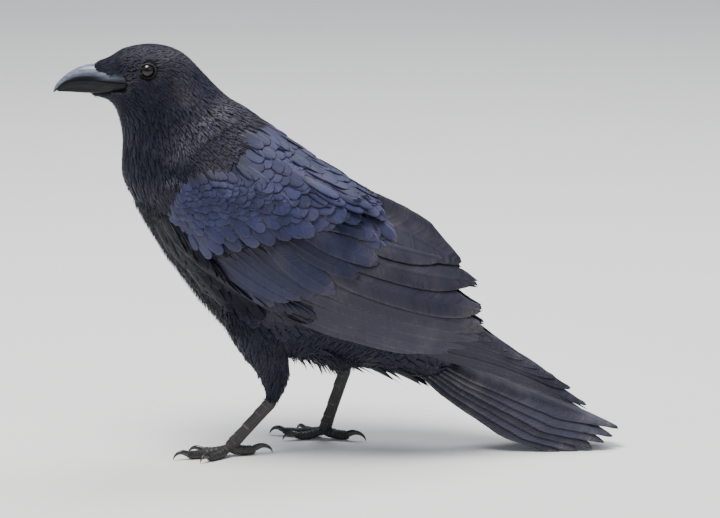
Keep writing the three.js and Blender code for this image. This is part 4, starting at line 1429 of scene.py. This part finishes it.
# a blade from root to tip on a sheet, in mm, where sheet(along, across, height) gives points in metres
def sheetBlade(sheet, root, tip, width, level, bend, look, turned=False):
    root, tip = np.array(root, float), np.array(tip, float)
    line = tip - root
    length = np.linalg.norm(line)
    sideways = np.array([-line[1], line[0]]) / length
    mark, fan = look["marks"], look["fan"]
    growing = np.minimum(1, look["rootWidth"] + 1.1 * mark)
    ending = 1 - (1 - look["tipWidth"]) * np.clip((mark - look["blunt"]) / (1 - look["blunt"]), 0, 1) ** 2
    halves = width / 2 * growing * ending
    phase = chance.random(4) * 6
    ragged = 1 + look["ragged"] * (np.sin(mark * 23 + phase[0]) + 0.7 * np.sin(mark * 57 + phase[1])) * mark
    # the lower edge is the outer vane, which is the narrow one
    offsets = np.where(fan < 0, fan * look["narrow"], fan * (2 - look["narrow"]))
    ends = 1 - look["roundness"] * width / length * np.abs(offsets) ** 2.2
    ends = ends - look["fray"] * np.abs(np.sin(fan * 19 + phase[2])) - look["fray"] * chance.random(len(fan))
    share = mark[:, None] * ends[None]
    centre = root + line * share[..., None] + sideways * (bend * np.sin(np.pi * share))[..., None]
    place = centre + sideways * (halves[:, None] * ragged[:, None] * offsets[None])[..., None]
    ridge = look["shaft"] * np.clip(1 - np.abs(fan) / 0.1, 0, 1)[None] * (1 - 0.75 * mark[:, None])
    spread = halves[:, None] * offsets[None]
    height = level + ridge - look["cup"] * halves[:, None] * (offsets**2)[None] + look["tilt"] * spread
    height = height - look["dive"] * (1 - mark[:, None]) ** 4
    body = look["thickness"] * (1 - 0.6 * fan**2)[None] * (1 - 0.5 * mark[:, None])
    top = sheet(place[..., 0], place[..., 1], height)
    under = sheet(place[..., 0], place[..., 1], height - body)
    return {"top": top, "under": under, "halves": halves * mm, "offsets": offsets, "length": length * mm,
            "turned": turned}


# the folded wing's surface: x, z of the top edge, full depth from the midline, drop to that depth, in mm
wingSheetStations = [
    (-170, 366, 50, 90), (-68, 313, 73, 88), (-13, 274, 74, 84), (51, 230, 70, 76), (100, 197, 53, 62),
    (138, 160, 38, 46), (184, 102, 26, 26), (245, 48, 17, 12),
]
ridgeOffset, wingTuck, padEnd = 4, 0.12, 70
sheetStep = 2.0
sheetX = np.arange(-186, 268, sheetStep)
sheetZ = np.arange(10, 392, sheetStep)


def wingDepth(x, z):
    places, tops, depths, drops = np.array(wingSheetStations, float).T
    top, depth, drop = (np.interp(x, places, values) for values in (tops, depths, drops))
    q = (top - z) / drop
    below = np.maximum(0, q - 1)
    return ridgeOffset + (depth - ridgeOffset) * np.sin(np.pi / 2 * np.clip(q, 0, 1)) * (1 - wingTuck * below**2)


def blurred(field, sigma):
    reach = int(3 * sigma)
    kernel = np.exp(-0.5 * (np.arange(-reach, reach + 1) / sigma) ** 2)
    kernel /= kernel.sum()
    for axis in (0, 1):
        padded = np.pad(field, [(reach, reach) if k == axis else (0, 0) for k in (0, 1)], mode="edge")
        field = np.apply_along_axis(lambda line: np.convolve(line, kernel, "valid"), axis, padded)
    return field


def makeWingField():  # never inside the coat
    x, z = np.meshgrid(sheetX, sheetZ, indexing="ij")
    pad = np.zeros_like(x)
    for i, j in np.argwhere(x <= padEnd):
        start = Vector(((sheetX[i] + shiftX) * mm, -0.3, sheetZ[j] * mm))
        hit = coatTree.ray_cast(start, Vector((0, 1, 0)), 0.3)[0]
        if hit:
            pad[i, j] = -hit.y / mm
    return np.maximum(blurred(np.maximum(pad, wingDepth(x, z)), 2.6), pad)


wingField = makeWingField()
wingSlopeX, wingSlopeZ = np.gradient(wingField, sheetStep)


def sampleField(field, x, z):
    u = np.clip((x - sheetX[0]) / sheetStep, 0, len(sheetX) - 1.001)
    v = np.clip((z - sheetZ[0]) / sheetStep, 0, len(sheetZ) - 1.001)
    i, j = u.astype(int), v.astype(int)
    a, b = u - i, v - j
    return (field[i, j] * (1 - a) * (1 - b) + field[i + 1, j] * a * (1 - b) + field[i, j + 1] * (1 - a) * b
            + field[i + 1, j + 1] * a * b)


def wingSheet(side):
    def sheet(x, z, height):
        z = z - (9 * ease(20, 120, x) if side > 0 else 0)  # this wing is held a little lower
        slopeX, slopeZ = sampleField(wingSlopeX, x, z), sampleField(wingSlopeZ, x, z)
        normal = unit(np.stack([-slopeX, np.ones_like(slopeX), -slopeZ], -1))
        point = np.stack([x, sampleField(wingField, x, z), z], -1) + normal * np.asarray(height)[..., None]
        return (point + (shiftX, 0, 0)) * (mm, side * mm, mm)
    return sheet


# root x, root z, tip x, tip z, width and bend of each blade, the top one first, in mm
wingBlades = {
    "secondaries": dict(
        blades=[
            (-34, 238, 106, 184, 27, -3), (-20, 254, 122, 178, 30, 3), (-38, 224, 138, 161, 32, -6),
            (-44, 206, 143, 137, 33, -6), (-54, 192, 146, 121, 29, -5), (-64, 181, 141, 112, 27, -4),
            (-72, 171, 128, 106, 26, -3), (-62, 157, 113, 103, 25, -2), (-46, 142, 92, 104, 20, -1),
        ],
        level=0.3, step=0.25, look=bladeLook(fray=0.02, tipWidth=0.5, blunt=0.8)),
    "primaries": dict(
        blades=[
            (40, 150, 151, 110, 22, 2), (42, 146, 167, 101, 22, 2), (44, 141, 183, 92, 22, 2),
            (46, 136, 198, 83, 21, 3), (48, 130, 213, 73, 21, 3), (50, 124, 228, 62, 20, 3),
            (53, 117, 243, 47, 19, 3), (57, 111, 236, 44, 17, 3),
        ],
        level=-5.9, step=0.55, look=bladeLook(narrow=0.5, fray=0.004, tipWidth=0.3, blunt=0.78, cup=0.05)),
    "greaterCoverts": dict(
        blades=[
            (-40, 246, 51, 209, 17, -2), (-44, 234, 43, 189, 20, -3), (-52, 222, 24, 179, 19, -3),
            (-66, 218, 3, 163, 25, -3), (-84, 212, -16, 160, 18, -3), (-98, 207, -28, 158, 17, -3),
            (-112, 202, -40, 156, 17, -3), (-124, 196, -52, 151, 16, -3),
        ],
        level=1.2, step=0.1,
        look=bladeLook(rows=18, tipWidth=0.82, roundness=0.62, blunt=0.74, cup=0.05, narrow=0.85,
                       rootWidth=0.5, dive=4.0)),
}


def buildWingBlades(side, label, group, facts):
    sheet = wingSheet(side)
    made = []
    for number, (x0, z0, x1, z1, width, bend) in enumerate(facts["blades"]):
        level = facts["level"] - facts["step"] * number
        made.append(sheetBlade(sheet, (x0, z0), (x1, z1), width, level, bend, facts["look"], side < 0))
    return gridBlades(sidedName(label, group), made, facts["look"])


# the flank feathers and lower coverts take the darker copies, which paint shade
for name, piece in wingPieces.items():
    flank = name.endswith("FlankFeathers")
    finish = "shadedFlankPlumage" if flank else "shadedLowerPlumage" if name.endswith("LowerCoverts") else "wingPlumage"
    finishPiece(piece, plumage[finish])
for side, label in ((-1, "left"), (1, "right")):
    for group, facts in wingBlades.items():
        piece = buildWingBlades(side, label, group, facts)
        # the greater coverts take the darker copy, which paints shade
        covers = group == "greaterCoverts"
        finish = "shadedLargePlumage" if covers else "flightPlumage"
        finishPiece(piece, plumage[finish], [] if covers else [f"wing_{label}_{group}"])
print("wings")

tailLook = {
    "rootX": 70, "rootZ": 107, "droop": math.radians(23.6), "roll": math.radians(16), "ridgeRadius": 34,
    "slope": math.radians(42), "length": 219, "graduation": 43, "halfSpread": 45, "rootSpread": 9,
    "vaneWidth": 27, "taper": 4, "pairs": 6, "gap": 1.5, "bend": 3,
}


def tailSheet(along, across, height):
    look = tailLook
    arc = np.minimum(np.abs(across) / look["ridgeRadius"], look["slope"])
    beyond = np.abs(across) - arc * look["ridgeRadius"]
    radius = look["ridgeRadius"] + height
    out = -np.sign(across) * (np.sin(arc) * radius + np.cos(arc) * beyond)
    up = np.cos(arc) * radius - np.sin(arc) * beyond - look["ridgeRadius"]
    c, s = math.cos(look["roll"]), math.sin(look["roll"])
    y, z = out * c - up * s, out * s + up * c
    c, s = math.cos(look["droop"]), math.sin(look["droop"])
    x, z = along * c + z * s, -along * s + z * c
    return np.stack([x + look["rootX"] + shiftX, y, np.maximum(z + look["rootZ"], 0.05)], -1) * mm


def buildTail(look):
    shape = bladeLook(rows=26, narrow=0.62, tipWidth=0.45, blunt=0.82, roundness=0.6, fray=0.008, cup=0.07)
    made = []
    for pair in range(look["pairs"]):
        outward = pair / (look["pairs"] - 1)
        reach = look["length"] - look["graduation"] * outward**1.8
        width = look["vaneWidth"] - look["taper"] * outward
        for number, side in enumerate((1, -1)):
            level = -look["gap"] * (2 * pair + number)
            root = (0, side * (2 + look["rootSpread"] * outward))
            tip = (reach, side * (3 + look["halfSpread"] * outward**0.85))
            made.append(sheetBlade(tailSheet, root, tip, width, level, side * look["bend"] * outward, shape))
    return gridBlades("tailFeathers", made, shape)


rectrices = [f"rectrix_{side}_{number}" for side in ("left", "right") for number in range(1, 7)]
finishPiece(buildTail(tailLook), plumage["tailPlumage"], rectrices)
print("tail")

bpy.data.objects.remove(envelope)
